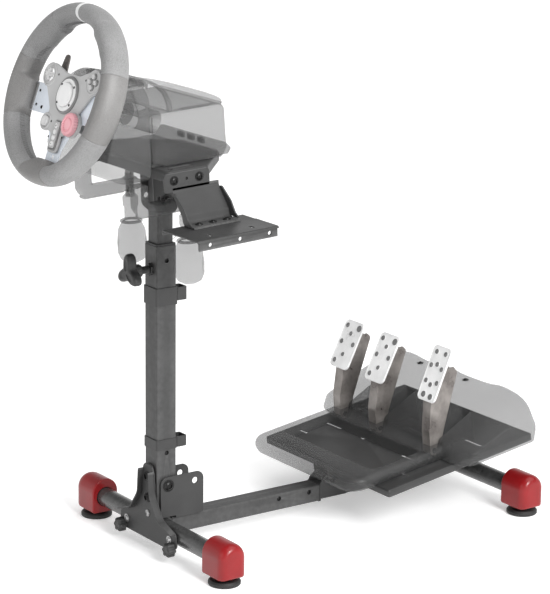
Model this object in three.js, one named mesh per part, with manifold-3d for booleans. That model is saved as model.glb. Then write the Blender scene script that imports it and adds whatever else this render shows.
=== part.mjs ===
// Racing-wheel rig: folding steel stand, force-feedback wheel and three-pedal set.
// Units: millimetres. +Z up, +Y forward (towards the pedals), +X to the driver's right.
// Construction origin: floor, under the middle of the rear cross tube. The whole rig is
// shifted at the end so that its origin is the bottom centre of its bounding box.
import * as THREE from 'three';
import { mergeVertices } from 'three/addons/utils/BufferGeometryUtils.js';
import Module from 'manifold-3d';

const wasm = await Module();
wasm.setup();

// ---------------------------------------------------------------- driving dimensions
const GAP = 0.3;                 // gap kept between touching pieces
// floor frame
const TUBE_R = 16, TUBE_Z = 42, TUBE_HALF = 205;
const FRONT_Y = 631;             // front cross tube
const CAP_IN = 170, CAP_OUT = 230, CAP_HW = 25, CAP_Z0 = 14, CAP_Z1 = 74;
const FOOT_X = 199.5, FOOT_R = 27, FOOT_H = 10;
// beam
const BEAM_HW = 17.5, BEAM_Z0 = 26.5, BEAM_Z1 = 56.5, BEAM_Y0 = 16.5, BEAM_Y1 = 322;
// mast
const PIVOT_Y = 5, PIVOT_Z = 116;          // fold pivot
const MAST_HW = 19, MAST_Z0 = 64, MAST_Z1 = 525;
const INNER_HW = 15, INNER_Z0 = 330, INNER_Z1 = 640;
const TILT_Z = 600;                        // wheel plate tilt pivot (at PIVOT_Y)
const PLATE_RISE = 2.75 * Math.PI / 180;   // the wheel plate rises forward
// wheel plate, in its own untilted frame
const WP_HX = 134, WP_Y0 = -65, WP_YS = 11.5, WP_YF = 86.8, WP_HF = 54, WP_Z = 678.3, SHEET = 2.5;
// shifter shelf
const SH_X0 = 160, SH_X1 = 262, SH_Y0 = -95, SH_Y1 = 56, SH_Z = 597;
// steering wheel: rim centre and tilt
const RIM_Y = -180, RIM_Z = 790, RIM_TILT = 20 * Math.PI / 180;
const RIM_R = 132, RIM_T = 15.6, RIM_DEPTH = 23.5, RIM_BACK = 8;   // grip section: half thickness, half depth, offset of its middle behind the rim plane
const GEAR_M = 1.6, GEAR_N = 36, PIN_N = 12;
// pedal tray
const TRAY_Y = 346, TRAY_Z = 88, TRAY_TILT = 8.61 * Math.PI / 180;
const TRAY_HX = 182, TRAY_L = 320.6;
const SADDLE_Y = 352, SADDLE_Z = 60;      // tray tilt pivot
const PED_X = [-136, -31, 124];            // clutch, brake, throttle
// pads: half width, half length, lean from the tray's normal (degrees), centre of the face (y, z)
const PADS = [[27, 45, 35, 168, 137.5], [27, 45, 35, 168, 137.5], [24, 49.5, 31.8, 163.8, 147.4]];
const PIVY = 140, PIVZ = 14;               // pedal pivots

// ---------------------------------------------------------------- materials
const mat = (c, r, m = 0) => new THREE.MeshStandardMaterial({ color: c, roughness: r, metalness: m });
const BLACK = () => mat(0x34363a, 0.45, 0.4), SATIN = () => mat(0x26272a, 0.35, 0.3);
const RED = () => mat(0xb9242b, 0.35), RUB = () => mat(0x17181a, 0.85);
const ZINC = () => mat(0x8d9094, 0.35, 0.9), SHELL = () => mat(0x8b8d90, 0.55), SHELL2 = () => mat(0xa4a6a9, 0.5);
const GRIP = () => mat(0x6f7174, 0.7), ALU = () => mat(0xc9ced6, 0.35, 0.8), PAD = () => mat(0xe4e4e6, 0.3, 0.8);

// ---------------------------------------------------------------- helpers
function clean(g) {
  g = g.clone();
  for (const k of Object.keys(g.attributes)) if (k !== 'position') g.deleteAttribute(k);
  return mergeVertices(g, 1e-4);
}
const man = (g) => {
  const c = clean(g);
  return new wasm.Manifold(new wasm.Mesh({ numProp: 3,
    vertProperties: new Float32Array(c.attributes.position.array),
    triVerts: new Uint32Array(c.index.array) }));
};
const geo = (m) => {
  const k = m.getMesh(), g = new THREE.BufferGeometry();
  g.setAttribute('position', new THREE.BufferAttribute(new Float32Array(k.vertProperties), 3));
  g.setIndex(new THREE.BufferAttribute(new Uint32Array(k.triVerts), 1));
  return g;
};
const union = (...l) => l.map(x => x.getAttribute ? man(x) : x).reduce((a, b) => a.add(b));
const cut = (a, ...l) => l.map(x => x.getAttribute ? man(x) : x).reduce((p, b) => p.subtract(b), a.getAttribute ? man(a) : a);
// plane maps: 2D outline (a,b) extruded from lo to hi along the remaining axis
const MAPS = {
  z: new THREE.Matrix4(),
  y: new THREE.Matrix4().makeBasis(new THREE.Vector3(1, 0, 0), new THREE.Vector3(0, 0, 1), new THREE.Vector3(0, -1, 0)),
  x: new THREE.Matrix4().makeBasis(new THREE.Vector3(0, 1, 0), new THREE.Vector3(0, 0, 1), new THREE.Vector3(1, 0, 0)),
};
// ext('z', xy), ext('y', xz), ext('x', yz)
function ext(axis, pts, lo, hi, holes = []) {
  const V = (l, ccw) => {                 // outline counter-clockwise, holes clockwise
    const v = l.map(p => new THREE.Vector2(p[0], p[1]));
    return (THREE.ShapeUtils.area(v) > 0) === ccw ? v : v.reverse();
  };
  const s = new THREE.Shape(V(pts, true));
  for (const h of holes) s.holes.push(new THREE.Path(V(h, false)));
  const g = new THREE.ExtrudeGeometry(s, { depth: hi - lo, bevelEnabled: false, steps: 1 });
  g.translate(0, 0, axis === 'y' ? -hi : lo);
  g.applyMatrix4(MAPS[axis]);
  return g;
}
const circ = (cx, cy, r, n = 24, a0 = 0) => Array.from({ length: n }, (_, i) => {
  const a = a0 + i * 2 * Math.PI / n; return [cx + r * Math.cos(a), cy + r * Math.sin(a)]; });
const rect = (x0, y0, x1, y1) => [[x0, y0], [x1, y0], [x1, y1], [x0, y1]];
// polygon with rounded corners; each point is [x, y, r]
function round(pts, seg = 3) {
  const out = [], n = pts.length;
  for (let i = 0; i < n; i++) {
    const [x, y, r = 0] = pts[i];
    if (!r) { out.push([x, y]); continue; }
    const a = pts[(i + n - 1) % n], b = pts[(i + 1) % n];
    const u = [a[0] - x, a[1] - y], v = [b[0] - x, b[1] - y];
    const lu = Math.hypot(...u), lv = Math.hypot(...v);
    const c = (u[0] * v[0] + u[1] * v[1]) / (lu * lv), half = Math.acos(Math.max(-1, Math.min(1, c))) / 2;
    let t = r / Math.tan(half); t = Math.min(t, lu * 0.49, lv * 0.49);
    const rr = t * Math.tan(half);
    const p0 = [x + u[0] / lu * t, y + u[1] / lu * t], p1 = [x + v[0] / lv * t, y + v[1] / lv * t];
    const bis = [u[0] / lu + v[0] / lv, u[1] / lu + v[1] / lv], lb = Math.hypot(...bis);
    const d = rr / Math.sin(half), cc = [x + bis[0] / lb * d, y + bis[1] / lb * d];
    let a0 = Math.atan2(p0[1] - cc[1], p0[0] - cc[0]), a1 = Math.atan2(p1[1] - cc[1], p1[0] - cc[0]);
    while (a1 - a0 > Math.PI) a1 -= 2 * Math.PI;
    while (a1 - a0 < -Math.PI) a1 += 2 * Math.PI;
    for (let k = 0; k <= seg; k++) { const q = a0 + (a1 - a0) * k / seg; out.push([cc[0] + rr * Math.cos(q), cc[1] + rr * Math.sin(q)]); }
  }
  return out;
}
const rrect = (x0, y0, x1, y1, r, seg = 3) => round([[x0, y0, r], [x1, y0, r], [x1, y1, r], [x0, y1, r]], seg);
// a closed skin through rings of equal length, capped at both ends
function loft(rings) {
  const n = rings[0].length, pos = [], idx = [];
  for (const r of rings) for (const p of r) pos.push(...p);
  for (let i = 0; i + 1 < rings.length; i++) for (let j = 0; j < n; j++) {
    const a = i * n + j, b = i * n + (j + 1) % n, c = a + n, d = b + n;
    idx.push(a, b, d, a, d, c);
  }
  for (const [k, flip] of [[0, true], [rings.length - 1, false]]) {
    const r = rings[k], m = pos.length / 3;
    pos.push(...[0, 1, 2].map(q => r.reduce((s, p) => s + p[q], 0) / n));
    for (let j = 0; j < n; j++) { const a = k * n + j, b = k * n + (j + 1) % n; flip ? idx.push(m, b, a) : idx.push(m, a, b); }
  }
  const g = new THREE.BufferGeometry();
  g.setAttribute('position', new THREE.BufferAttribute(new Float32Array(pos), 3));
  g.setIndex(idx);
  // faces out
  let vol = 0; const P = g.attributes.position, A = new THREE.Vector3(), B = new THREE.Vector3(), C = new THREE.Vector3();
  for (let i = 0; i < idx.length; i += 3) { A.fromBufferAttribute(P, idx[i]); B.fromBufferAttribute(P, idx[i + 1]); C.fromBufferAttribute(P, idx[i + 2]); vol += A.dot(B.cross(C)); }
  if (vol < 0) { for (let i = 0; i < idx.length; i += 3) { const t = idx[i]; idx[i] = idx[i + 1]; idx[i + 1] = t; } g.setIndex(idx); }
  return g;
}
// cylinder along an axis, centre (a,b) in that axis's plane
const cyl = (axis, a, b, r, lo, hi, n = 24, a0 = 0) => ext(axis, circ(a, b, r, n, a0), lo, hi);
const box = (x0, y0, z0, x1, y1, z1) => ext('z', rect(x0, y0, x1, y1), z0, z1);

const root = new THREE.Group();
const stand = new THREE.Group(), plateG = new THREE.Group(), wheelG = new THREE.Group(), trayG = new THREE.Group();
root.add(stand, plateG, wheelG, trayG);
// wheel plate group: built level, then raised about the tilt pivot
plateG.rotation.x = PLATE_RISE;
plateG.position.set(0,
  PIVOT_Y - PIVOT_Y * Math.cos(PLATE_RISE) + TILT_Z * Math.sin(PLATE_RISE),
  TILT_Z - PIVOT_Y * Math.sin(PLATE_RISE) - TILT_Z * Math.cos(PLATE_RISE));
// wheel group: local y runs from the driver into the base along the steering axis
wheelG.rotation.x = -RIM_TILT;
wheelG.position.set(0, RIM_Y, RIM_Z);
// tray group: local y runs forward along the tray's top face
trayG.rotation.x = TRAY_TILT;
trayG.position.set(0, TRAY_Y, TRAY_Z);

function put(group, name, g, material) {
  if (!g.getAttribute) g = geo(g);
  g = clean(g);
  const m = new THREE.Mesh(g, material);
  m.name = name;
  group.add(m);
  return m;
}

// ================================================================ floor frame
for (const [nm, y] of [['rear_cross_tube', 0], ['front_cross_tube', FRONT_Y]])
  put(stand, nm, ext('x', circ(y, TUBE_Z, TUBE_R, 20), -TUBE_HALF, TUBE_HALF, [circ(y, TUBE_Z, TUBE_R - 2, 16)]), SATIN());

// arch-topped end caps, hollow where they take the tube and the levelling stem
function capRing(x, d, y) {
  const w = CAP_HW - d, z0 = CAP_Z0 + (d ? d * 0.5 : 0), z1 = CAP_Z1 - d, cz = CAP_Z1 - CAP_HW;
  const out = [];
  const bot = rrect(-w, z0, w, cz, Math.max(1, 5 - d * 0.3), 2).filter(p => p[1] < (z0 + cz) / 2);
  bot.sort((p, q) => p[0] - q[0]);
  for (const p of bot) out.push(p);
  for (let k = 0; k <= 8; k++) { const a = Math.PI * k / 8; out.push([w * Math.cos(a), cz + (z1 - cz) * Math.sin(a)]); }
  return out.map(p => [x, y + p[0], p[1]]);
}
for (const [nm, sx, y] of [['end_cap_rear_left', -1, 0], ['end_cap_rear_right', 1, 0], ['end_cap_front_left', -1, FRONT_Y], ['end_cap_front_right', 1, FRONT_Y]]) {
  const rings = [[CAP_IN, 0], [CAP_OUT - 7, 0], [CAP_OUT, 4.5]].map(([x, d]) => capRing(sx * x, d, y));
  const pocket = sx > 0 ? cyl('x', y, TUBE_Z, TUBE_R + 0.4, CAP_IN - 5, TUBE_HALF + 0.4, 20) : cyl('x', y, TUBE_Z, TUBE_R + 0.4, -TUBE_HALF - 0.4, -CAP_IN + 5, 20);
  const stem = cyl('z', sx * FOOT_X, y, 6.4, CAP_Z0 - 5, 24, 12);
  put(stand, nm, cut(loft(rings), pocket, stem), RED());
}
// levelling feet: rubber disc with a threaded stem
for (const [nm, sx, y] of [['foot_rear_left', -1, 0], ['foot_rear_right', 1, 0], ['foot_front_left', -1, FRONT_Y], ['foot_front_right', 1, FRONT_Y]]) {
  const g = new THREE.LatheGeometry([[0, 0], [FOOT_R, 0], [FOOT_R, 6], [FOOT_R - 3, FOOT_H], [6, FOOT_H], [6, 23.6], [0, 23.6]].map(p => new THREE.Vector2(...p)), 14);
  g.rotateX(Math.PI / 2); g.translate(sx * FOOT_X, y, 0);
  put(stand, nm, g, RUB());
}

// ================================================================ hinge bracket on the beam, and the beam
{
  const side = round([[20, 57.2, 0], [75, 57.2, 3], [75, 131, 12], [-10, 131, 12], [-10, 61, 4], [20, 61, 0]], 4);
  const hole = [circ(PIVOT_Y, PIVOT_Z, 5.4, 12).reverse(), circ(58, 116, 5.5, 14).reverse()];
  const r = ext('x', side, 21.5, 24.5, hole), l = ext('x', side, -24.5, -21.5, hole);
  const web = box(-22, 20, 57.2, 22, 74, 60);
  put(stand, 'hinge_bracket', union(r, l, web), BLACK());
  const bolt = union(cyl('x', PIVOT_Y, PIVOT_Z, 5, -31, 31, 12), cyl('x', PIVOT_Y, PIVOT_Z, 8.5, 24.8, 29.5, 6), cyl('x', PIVOT_Y, PIVOT_Z, 8.5, -30.5, -24.8, 6));
  put(stand, 'mast_pivot_bolt', bolt, SATIN());
}
{
  let b = man(ext('y', rect(-BEAM_HW, BEAM_Z0, BEAM_HW, BEAM_Z1), BEAM_Y0, BEAM_Y1, [rect(-BEAM_HW + 2, BEAM_Z0 + 2, BEAM_HW - 2, BEAM_Z1 - 2).reverse()]));
  for (const y of [236, 300]) b = b.subtract(man(cyl('x', y, 47, 4.2, 10, 30, 12)));
  put(stand, 'beam_outer', b, BLACK());
}
{
  // inner beam welded to the front cross tube, with the tray saddle and the rear tray rest
  const tube = ext('y', rect(-15, 29, 15, 54), 230, FRONT_Y - TUBE_R - 0.4, [rect(-13, 31, 13, 52).reverse()]);
  const ear = round([[324, 30, 0], [384, 30, 4], [384, 56, 8], [366, 71, 8], [338, 71, 8], [324, 60, 6]], 3);
  const hole = [circ(SADDLE_Y, SADDLE_Z, 4.4, 12).reverse()];
  const e1 = ext('x', ear, 14.9, 18, hole), e2 = ext('x', ear, -18, -14.9, hole);
  const rest = ext('x', [[592, 53.8], [608, 53.8], [608, 123], [592, 120.6]], -22, 22);
  const restHole = ext('x', rect(594.5, 50, 605.5, 117.5), -19, 19);
  put(stand, 'beam_inner', cut(union(tube, e1, e2, rest), restHole), BLACK());
}

// ================================================================ mast
{
  let m = man(ext('z', rect(-MAST_HW, PIVOT_Y - MAST_HW, MAST_HW, PIVOT_Y + MAST_HW), MAST_Z0, MAST_Z1,
    [rect(-MAST_HW + 2, PIVOT_Y - MAST_HW + 2, MAST_HW - 2, PIVOT_Y + MAST_HW - 2).reverse()]));
  m = m.subtract(man(cyl('x', PIVOT_Y, PIVOT_Z, 5.4, -30, 30, 12)));
  for (const z of [171.8, 500.5]) m = m.subtract(man(cyl('x', PIVOT_Y, z, 4, 10, 30, 12)));
  m = m.subtract(man(cyl('y', 0, 485, 6.4, -30, -5, 12)));
  put(stand, 'mast_outer', m, BLACK());
}
{
  // guide bushing at the mouth of the outer mast, with a flange on top
  const hw = MAST_HW, i = INNER_HW + 0.3;
  const sleeve = ext('z', rect(-hw + 2.35, PIVOT_Y - hw + 2.35, hw - 2.35, PIVOT_Y + hw - 2.35), 502, MAST_Z1 + 1,
    [rect(-i, PIVOT_Y - i, i, PIVOT_Y + i).reverse()]);
  const flange = ext('z', rect(-hw, PIVOT_Y - hw, hw, PIVOT_Y + hw), MAST_Z1 + 0.4, MAST_Z1 + 3.4, [rect(-i, PIVOT_Y - i, i, PIVOT_Y + i).reverse()]);
  put(stand, 'telescope_bushing', union(sleeve, flange), RUB());
  let t = man(ext('z', rect(-INNER_HW, PIVOT_Y - INNER_HW, INNER_HW, PIVOT_Y + INNER_HW), INNER_Z0, INNER_Z1,
    [rect(-INNER_HW + 2, PIVOT_Y - INNER_HW + 2, INNER_HW - 2, PIVOT_Y + INNER_HW - 2).reverse()]));
  t = t.subtract(man(cyl('x', PIVOT_Y, TILT_Z, 5.4, -30, 30, 12)));
  put(stand, 'mast_inner', t, BLACK());
  const bolt = union(cyl('x', PIVOT_Y, TILT_Z, 5, -27, 27, 12), cyl('x', PIVOT_Y, TILT_Z, 8.5, 20.8, 26, 6), cyl('x', PIVOT_Y, TILT_Z, 8.5, -26, -20.8, 6));
  put(stand, 'tilt_bolt', bolt, SATIN());
}
{
  // star knob with three lobes; its stem screws through the outer mast
  const pts = [];
  for (let k = 0; k < 36; k++) { const a = k * Math.PI / 18 + Math.PI / 2; const r = 21.5 + 8.5 * Math.cos(3 * k * Math.PI / 18); pts.push([r * Math.cos(a), 485 + r * Math.sin(a)]); }
  const g = union(ext('y', pts, -62, -46), cyl('y', 0, 485, 11, -47, -34, 16), cyl('y', 0, 485, 6, -35, -10.6, 12));
  put(stand, 'height_knob', g, RUB());
}
for (const [nm, z0, z1, hz0, hz1, w] of [['cable_clip_lower', 178, 196, 178, 196, 1.3], ['cable_clip_upper', 425, 455, 430, 452, 1.6]]) {
  const o = MAST_HW + 0.3 + w, i = MAST_HW + 0.3;
  const band = ext('z', rect(-o, PIVOT_Y - o, o, PIVOT_Y + o), z0, z1, [rect(-i, PIVOT_Y - i, i, PIVOT_Y + i).reverse()]);
  const h = ext('z', rect(-6, PIVOT_Y + o - 0.4, 18, 46), hz0, hz1, [rect(-3.5, PIVOT_Y + o + 2, 15.5, 43.5).reverse()]);
  put(stand, nm, union(band, h), RUB());
}
{
  // gusset on the driver's side of the mast: reaches down over the rear cross tube
  const half = [[0, 152, 0], [12, 152, 8], [17, 138, 6], [20, 100, 20], [44, 66, 26], [84, 52, 10], [88, 30, 8], [74, 20, 8], [0, 20, 0]];
  const pts = round([...half.slice(1, -1), ...half.slice(1, -1).reverse().map(p => [-p[0], p[1], p[2]])], 3);
  const holes = [circ(0, 130.4, 4.5, 12).reverse(), circ(0, 93.3, 4.5, 12).reverse(), circ(66, 38, 4.5, 12).reverse(), circ(-66, 38, 4.5, 12).reverse()];
  const plate = ext('y', pts, -20.6, -17.2, holes);
  const fl = (s) => {
    const a = round([[17, 138, 0], [20, 100, 20], [44, 66, 26], [80, 54, 0]], 4), b = a.map(p => [p[0] - 2.6, p[1] - 2]).reverse();
    return ext('y', [...a, ...b].map(p => [s * p[0], p[1]]), -30, -19);
  };
  const spacer = union(box(-15, -18, 72, 15, -14.35, 86), box(-15, -18, 108, 15, -14.35, 120));
  put(stand, 'gusset_plate', union(plate, fl(1), fl(-1), spacer), BLACK());
}

// ================================================================ wheel plate and its bracket (plate frame)
{
  const ear = round([[-20, WP_Z - 6.9, 0], [-20, 592, 14], [-6, 578, 12], [20, 578, 14], [30, 596, 12], [30, WP_Z - 6.9, 0]], 3);
  const hole = [circ(PIVOT_Y, TILT_Z, 5.4, 12).reverse(), circ(-11, 606, 4.5, 12).reverse()];
  const web = box(-20, -34, WP_Z - 7, 20, 44, WP_Z - SHEET - 0.4);
  put(plateG, 'tilt_bracket', union(ext('x', ear, 17, 20, hole), ext('x', ear, -20, -17, hole), web), BLACK());
}
{
  const o = round([[-WP_HX, WP_Y0, 6], [WP_HX, WP_Y0, 6], [WP_HX, WP_YS, 10], [WP_HF, WP_YF, 10], [-WP_HF, WP_YF, 10], [-WP_HX, WP_YS, 10]], 3);
  const t = SHEET, i = round([[-WP_HX + t, WP_Y0 + t, 4], [WP_HX - t, WP_Y0 + t, 4], [WP_HX - t, WP_YS - t * 0.4, 8], [WP_HF - t * 0.4, WP_YF - t, 8], [-WP_HF + t * 0.4, WP_YF - t, 8], [-WP_HX + t, WP_YS - t * 0.4, 8]], 3);
  let p = cut(ext('z', o, WP_Z - 17, WP_Z), ext('z', i, WP_Z - 30, WP_Z - t));
  // deeper side tabs that the shelf arm bolts to
  for (const s of [-1, 1]) p = p.add(man(s > 0 ? box(WP_HX - t, WP_Y0 + 6, WP_Z - 33, WP_HX, 10, WP_Z - 10) : box(-WP_HX, WP_Y0 + 6, WP_Z - 33, -WP_HX + t, 10, WP_Z - 10)));
  for (const s of [-1, 1]) for (const y of [-54.6, -7.4]) p = p.subtract(man(cyl('x', y, 664, 3.5, s > 0 ? 125 : -140, s > 0 ? 140 : -125, 10)));
  for (const [x, y] of [[-70, -20], [70, -20], [0, 50]]) p = p.subtract(man(cyl('z', x, y, 3.5, 665, 690, 10)));
  put(plateG, 'wheel_plate', p, BLACK());
}
{
  const x = WP_HX + GAP, t = 3;
  const strip = cut(ext('x', rrect(-73, 645, 12, 676, 7, 3), x, x + t), cyl('x', -54.6, 664, 4.5, x - 2, x + 5, 12), cyl('x', -7.4, 664, 4.5, x - 2, x + 5, 12), cyl('x', -31, 664, 2.5, x - 2, x + 5, 10));
  const J = 0.8;                           // depth of the pressed step that takes the arm's foot
  const prof = round([[x, 652], [x + t, 652, 0], [x + t, 646, 6], [164, 612, 8], [168, SH_Z - J + 3.4, 6], [196, SH_Z - J + 3.4, 0], [196, SH_Z - J + 0.4, 0], [165, SH_Z - J + 0.4, 6], [160.6, 611, 8], [x, 645, 6]], 3);
  const body = ext('y', prof, -58, 29);
  const lip = round([[140, 642, 0], [163, 613, 4], [168, 601, 2], [190, 601, 0], [178, 606, 8], [168, 624, 14], [144, 643, 4]], 3);
  put(plateG, 'shifter_arm', union(strip, body, ext('y', lip, -58, -55), ext('y', lip, 26, 29)), BLACK());
  const o = rrect(SH_X0, SH_Y0, SH_X1, SH_Y1, 4, 2);
  let p = union(ext('z', o, SH_Z - SHEET, SH_Z), box(SH_X1 - SHEET, SH_Y0 + 4, SH_Z - 16, SH_X1, SH_Y1 - 4, SH_Z - 1), box(SH_X0, SH_Y0 + 4, SH_Z - 9, SH_X0 + SHEET, SH_Y1 - 4, SH_Z - 1));
  p = p.add(man(box(SH_X0 + 1, SH_Y0 + 4, SH_Z - SHEET - J, 200, SH_Y1 - 4, SH_Z - 1.2))).subtract(man(box(SH_X0 - 5, SH_Y0 - 5, SH_Z - J, 198.5, SH_Y1 + 5, SH_Z + 5)));
  for (const y of [-72, -17, 38]) p = p.subtract(man(cyl('x', y, SH_Z - 8.5, 3.2, SH_X1 - 10, SH_X1 + 10, 10)));
  for (const y of [-58, 20]) p = p.subtract(man(ext('z', rrect(232, y - 3, 246, y + 3, 2.9, 3), SH_Z - 10, SH_Z + 10)));
  put(plateG, 'shifter_plate', p, BLACK());
}

// ================================================================ wheel base (plate frame)
// steering axis in the plate frame
const AX = RIM_TILT + PLATE_RISE;
const OY = PIVOT_Y + (RIM_Y - PIVOT_Y) * Math.cos(PLATE_RISE) + (RIM_Z - TILT_Z) * Math.sin(PLATE_RISE);
const OZ = TILT_Z - (RIM_Y - PIVOT_Y) * Math.sin(PLATE_RISE) + (RIM_Z - TILT_Z) * Math.cos(PLATE_RISE);
const onAxis = (yw, zw) => [OY + yw * Math.cos(AX) + zw * Math.sin(AX), OZ - yw * Math.sin(AX) + zw * Math.cos(AX)];
const axisCyl = (r, y0, y1, n = 24, x = 0) => { const g = cyl('y', x, 0, r, y0, y1, n); g.rotateX(-AX); g.translate(0, OY, OZ); return g; };
const FRONT = 58;      // distance of the base's front face behind the rim plane
// crown line of the hood
const CROWN = [[-160, 833], [-94.4, 825.3], [-67.8, 817], [-32.3, 805.3], [-4.6, 797], [26, 788.5], [50, 781.5], [62, 777.5], [72, 773], [100, 760]];
function hoodRing(y, zc, d, zb) {
  const top = zc - d, lo = 764.5;
  const half = [[104 - d, zb], [104 - d, lo + (top - lo) * 0.12 + 2], [98 - d, lo + (top - lo) * 0.42 + 2], [84 - d, lo + (top - lo) * 0.74], [62 - d * 0.6, lo + (top - lo) * 0.95], [36, top]];
  if (top < lo + 8) { for (let k = 1; k < 5; k++) half[k][1] = top - (5 - k) * 1.2; half[5][1] = top; }
  return [...half, ...half.slice().reverse().map(p => [-p[0], p[1]])].map(p => [p[0], y, p[1]]);
}
const hoodInner = (d, y0, y1, zb) => loft([[y0, null], ...CROWN.filter(c => c[0] > y0 && c[0] < y1), [y1, null]].map(([y, z]) => {
  if (z === null) { let i = CROWN.findIndex(c => c[0] >= y); i = Math.max(1, i); const a = CROWN[i - 1], b = CROWN[i]; z = a[1] + (b[1] - a[1]) * (y - a[0]) / (b[0] - a[0]); }
  return hoodRing(y, z, d, zb); }));
{
  const plan = ext('z', round([[-105, -100, 0], [105, -100, 0], [104.2, 72, 22], [-104.2, 72, 22]], 4), 740, 840);
  const outer = man(hoodInner(0, -94.4, 72, 750)).intersect(man(plan));
  const inner = man(hoodInner(3, -150, 69, 740)).intersect(man(ext('z', round([[-105, -160, 0], [105, -160, 0], [101.2, 69, 19], [-101.2, 69, 19]], 4), 730, 840)));
  const below = box(-100.6, -80, 700, 100.6, 72.6, 764.4);
  const underRear = box(-110, 72.6, 700, 110, 86, 752);
  put(plateG, 'base_upper_cover', cut(outer, inner, below, underRear), SHELL());
}
{
  // front housing: front wall square to the steering axis, chin hanging over the plate's edge
  const [ya, za] = onAxis(FRONT, 50), [yb, zb] = onAxis(FRONT, -77);
  const side = round([[ya, za, 0], [yb, zb, 20], [yb + 3, 672, 16], [-114, 656, 12], [-68, 655.5, 4], [-66.3, 764, 0], [-66.3, 822, 0]], 4);
  let o = man(ext('x', side, -94, 94));
  const arch = hoodInner(3.4, -159, -60, 640);
  o = o.intersect(man(arch)).intersect(man(ext('y', round([[-94, 655, 22], [94, 655, 22], [94, 850, 0], [-94, 850, 0]], 3), -160, -50)));
  const [yc, zc] = onAxis(FRONT + 3, 60), [yd, zd] = onAxis(FRONT + 3, -75);
  const cav = ext('x', round([[yc, zc + 10, 0], [yd, zd, 18], [yd + 3, 675, 14], [-112, 659, 10], [-60, 658.5, 0], [-60, 850, 0]], 4), -91, 91);
  // collar around the shaft
  o = o.subtract(man(cav)).add(man(axisCyl(52, FRONT - 3, FRONT + 2, 32))).subtract(man(axisCyl(15, 40, 80, 20)));
  put(plateG, 'base_front_housing', o, SHELL());
}
{
  const side = round([[-65.9, WP_Z + GAP, 0], [68, WP_Z + GAP, 4], [78, 694, 6], [73, 716, 6], [71.5, 764, 0], [-65.9, 764, 0]], 3);
  const inn = round([[-70, WP_Z + 3.3, 0], [66, WP_Z + 3.3, 3], [74, 695, 4], [70, 716, 4], [68.5, 780, 0], [-70, 780, 0]], 3);
  const xz = round([[-100, WP_Z + GAP, 6], [100, WP_Z + GAP, 6], [100, 764, 0], [-100, 764, 0]], 3);
  const o = man(ext('x', side, -100, 100)).intersect(man(ext('y', xz, -80, 90)));
  put(plateG, 'base_lower_housing', o.subtract(man(ext('x', inn, -97, 97))), SHELL2());
}
{
  // clamps: a C-shaped arm under the chin, and a hand screw that presses up against the plate
  for (const [nm, s] of [['left', -1], ['right', 1]]) {
    const x = s * 86, w = 13;
    const c = round([[-98, 653.5, 2], [-78, 653.5, 2], [-78, 620, 8], [14, 620, 6], [18, 602, 6], [-90, 602, 12], [-98, 616, 8]], 3);
    const arm = cut(ext('x', c, x - w, x + w), cyl('z', x, 0, 7.4, 590, 630, 12));
    put(plateG, 'clamp_arm_' + nm, arm, SHELL());
    const prof = [[0, 478], [14, 478], [23, 486], [25, 500], [25, 528], [19, 548], [11, 556], [11, 572], [13, 575], [13, 590], [7, 596], [7, 664], [14, 664], [14, 675.3], [0, 675.3]];
    const k = new THREE.LatheGeometry(prof.map(p => new THREE.Vector2(...p)), 14);
    k.rotateX(Math.PI / 2); k.translate(x, 0, 0);
    put(plateG, 'clamp_screw_' + nm, k, SHELL2());
  }
}

// ================================================================ drive (wheel frame)
function gear(z, m, thick, phase, y0, y1, x, bore) {
  const pts = [], rp = z * m / 2, ra = rp + 0.85 * m, rf = rp - 1.15 * m;
  for (let i = 0; i < z; i++) {
    const c = phase + i * 2 * Math.PI / z, h = Math.PI / z;
    const wr = h * (thick + 0.36), wp = h * (thick - 0.24);
    pts.push([rf, c - wr], [ra, c - wp], [ra, c + wp], [rf, c + wr]);
  }
  return ext('y', pts.map(([r, a]) => [x + r * Math.cos(a), r * Math.sin(a)]), y0, y1, bore ? [circ(x, 0, bore, 16).reverse()] : []);
}
const CD = (GEAR_N + PIN_N) * GEAR_M / 2 + 0.15;
put(wheelG, 'drive_gear', gear(GEAR_N, GEAR_M, 0.46, 0, 88, 96, 0, 12.4), ZINC());
// the pinion's tooth space faces the gear's tooth at rest
put(wheelG, 'pinion', union(gear(PIN_N, GEAR_M, 0.44, Math.PI + Math.PI / PIN_N, 86, 98, CD, 0), cyl('y', CD, 0, 3, 97.5, 103.5, 12)), ZINC());
put(wheelG, 'motor', union(cyl('y', CD, 0, 19, 104, 158, 20), cyl('y', CD, 0, 8, 157, 163, 14)), ZINC());
put(wheelG, 'wheel_shaft', union(cyl('y', 0, 0, 33, 21.4, 50, 28), cyl('y', 0, 0, 12, 49, 116, 16)), ZINC());
put(wheelG, 'shaft_bearing', ext('y', circ(0, 0, 24, 20), 62.4, 76, [circ(0, 0, 12.4, 16).reverse()]), ZINC());

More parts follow.
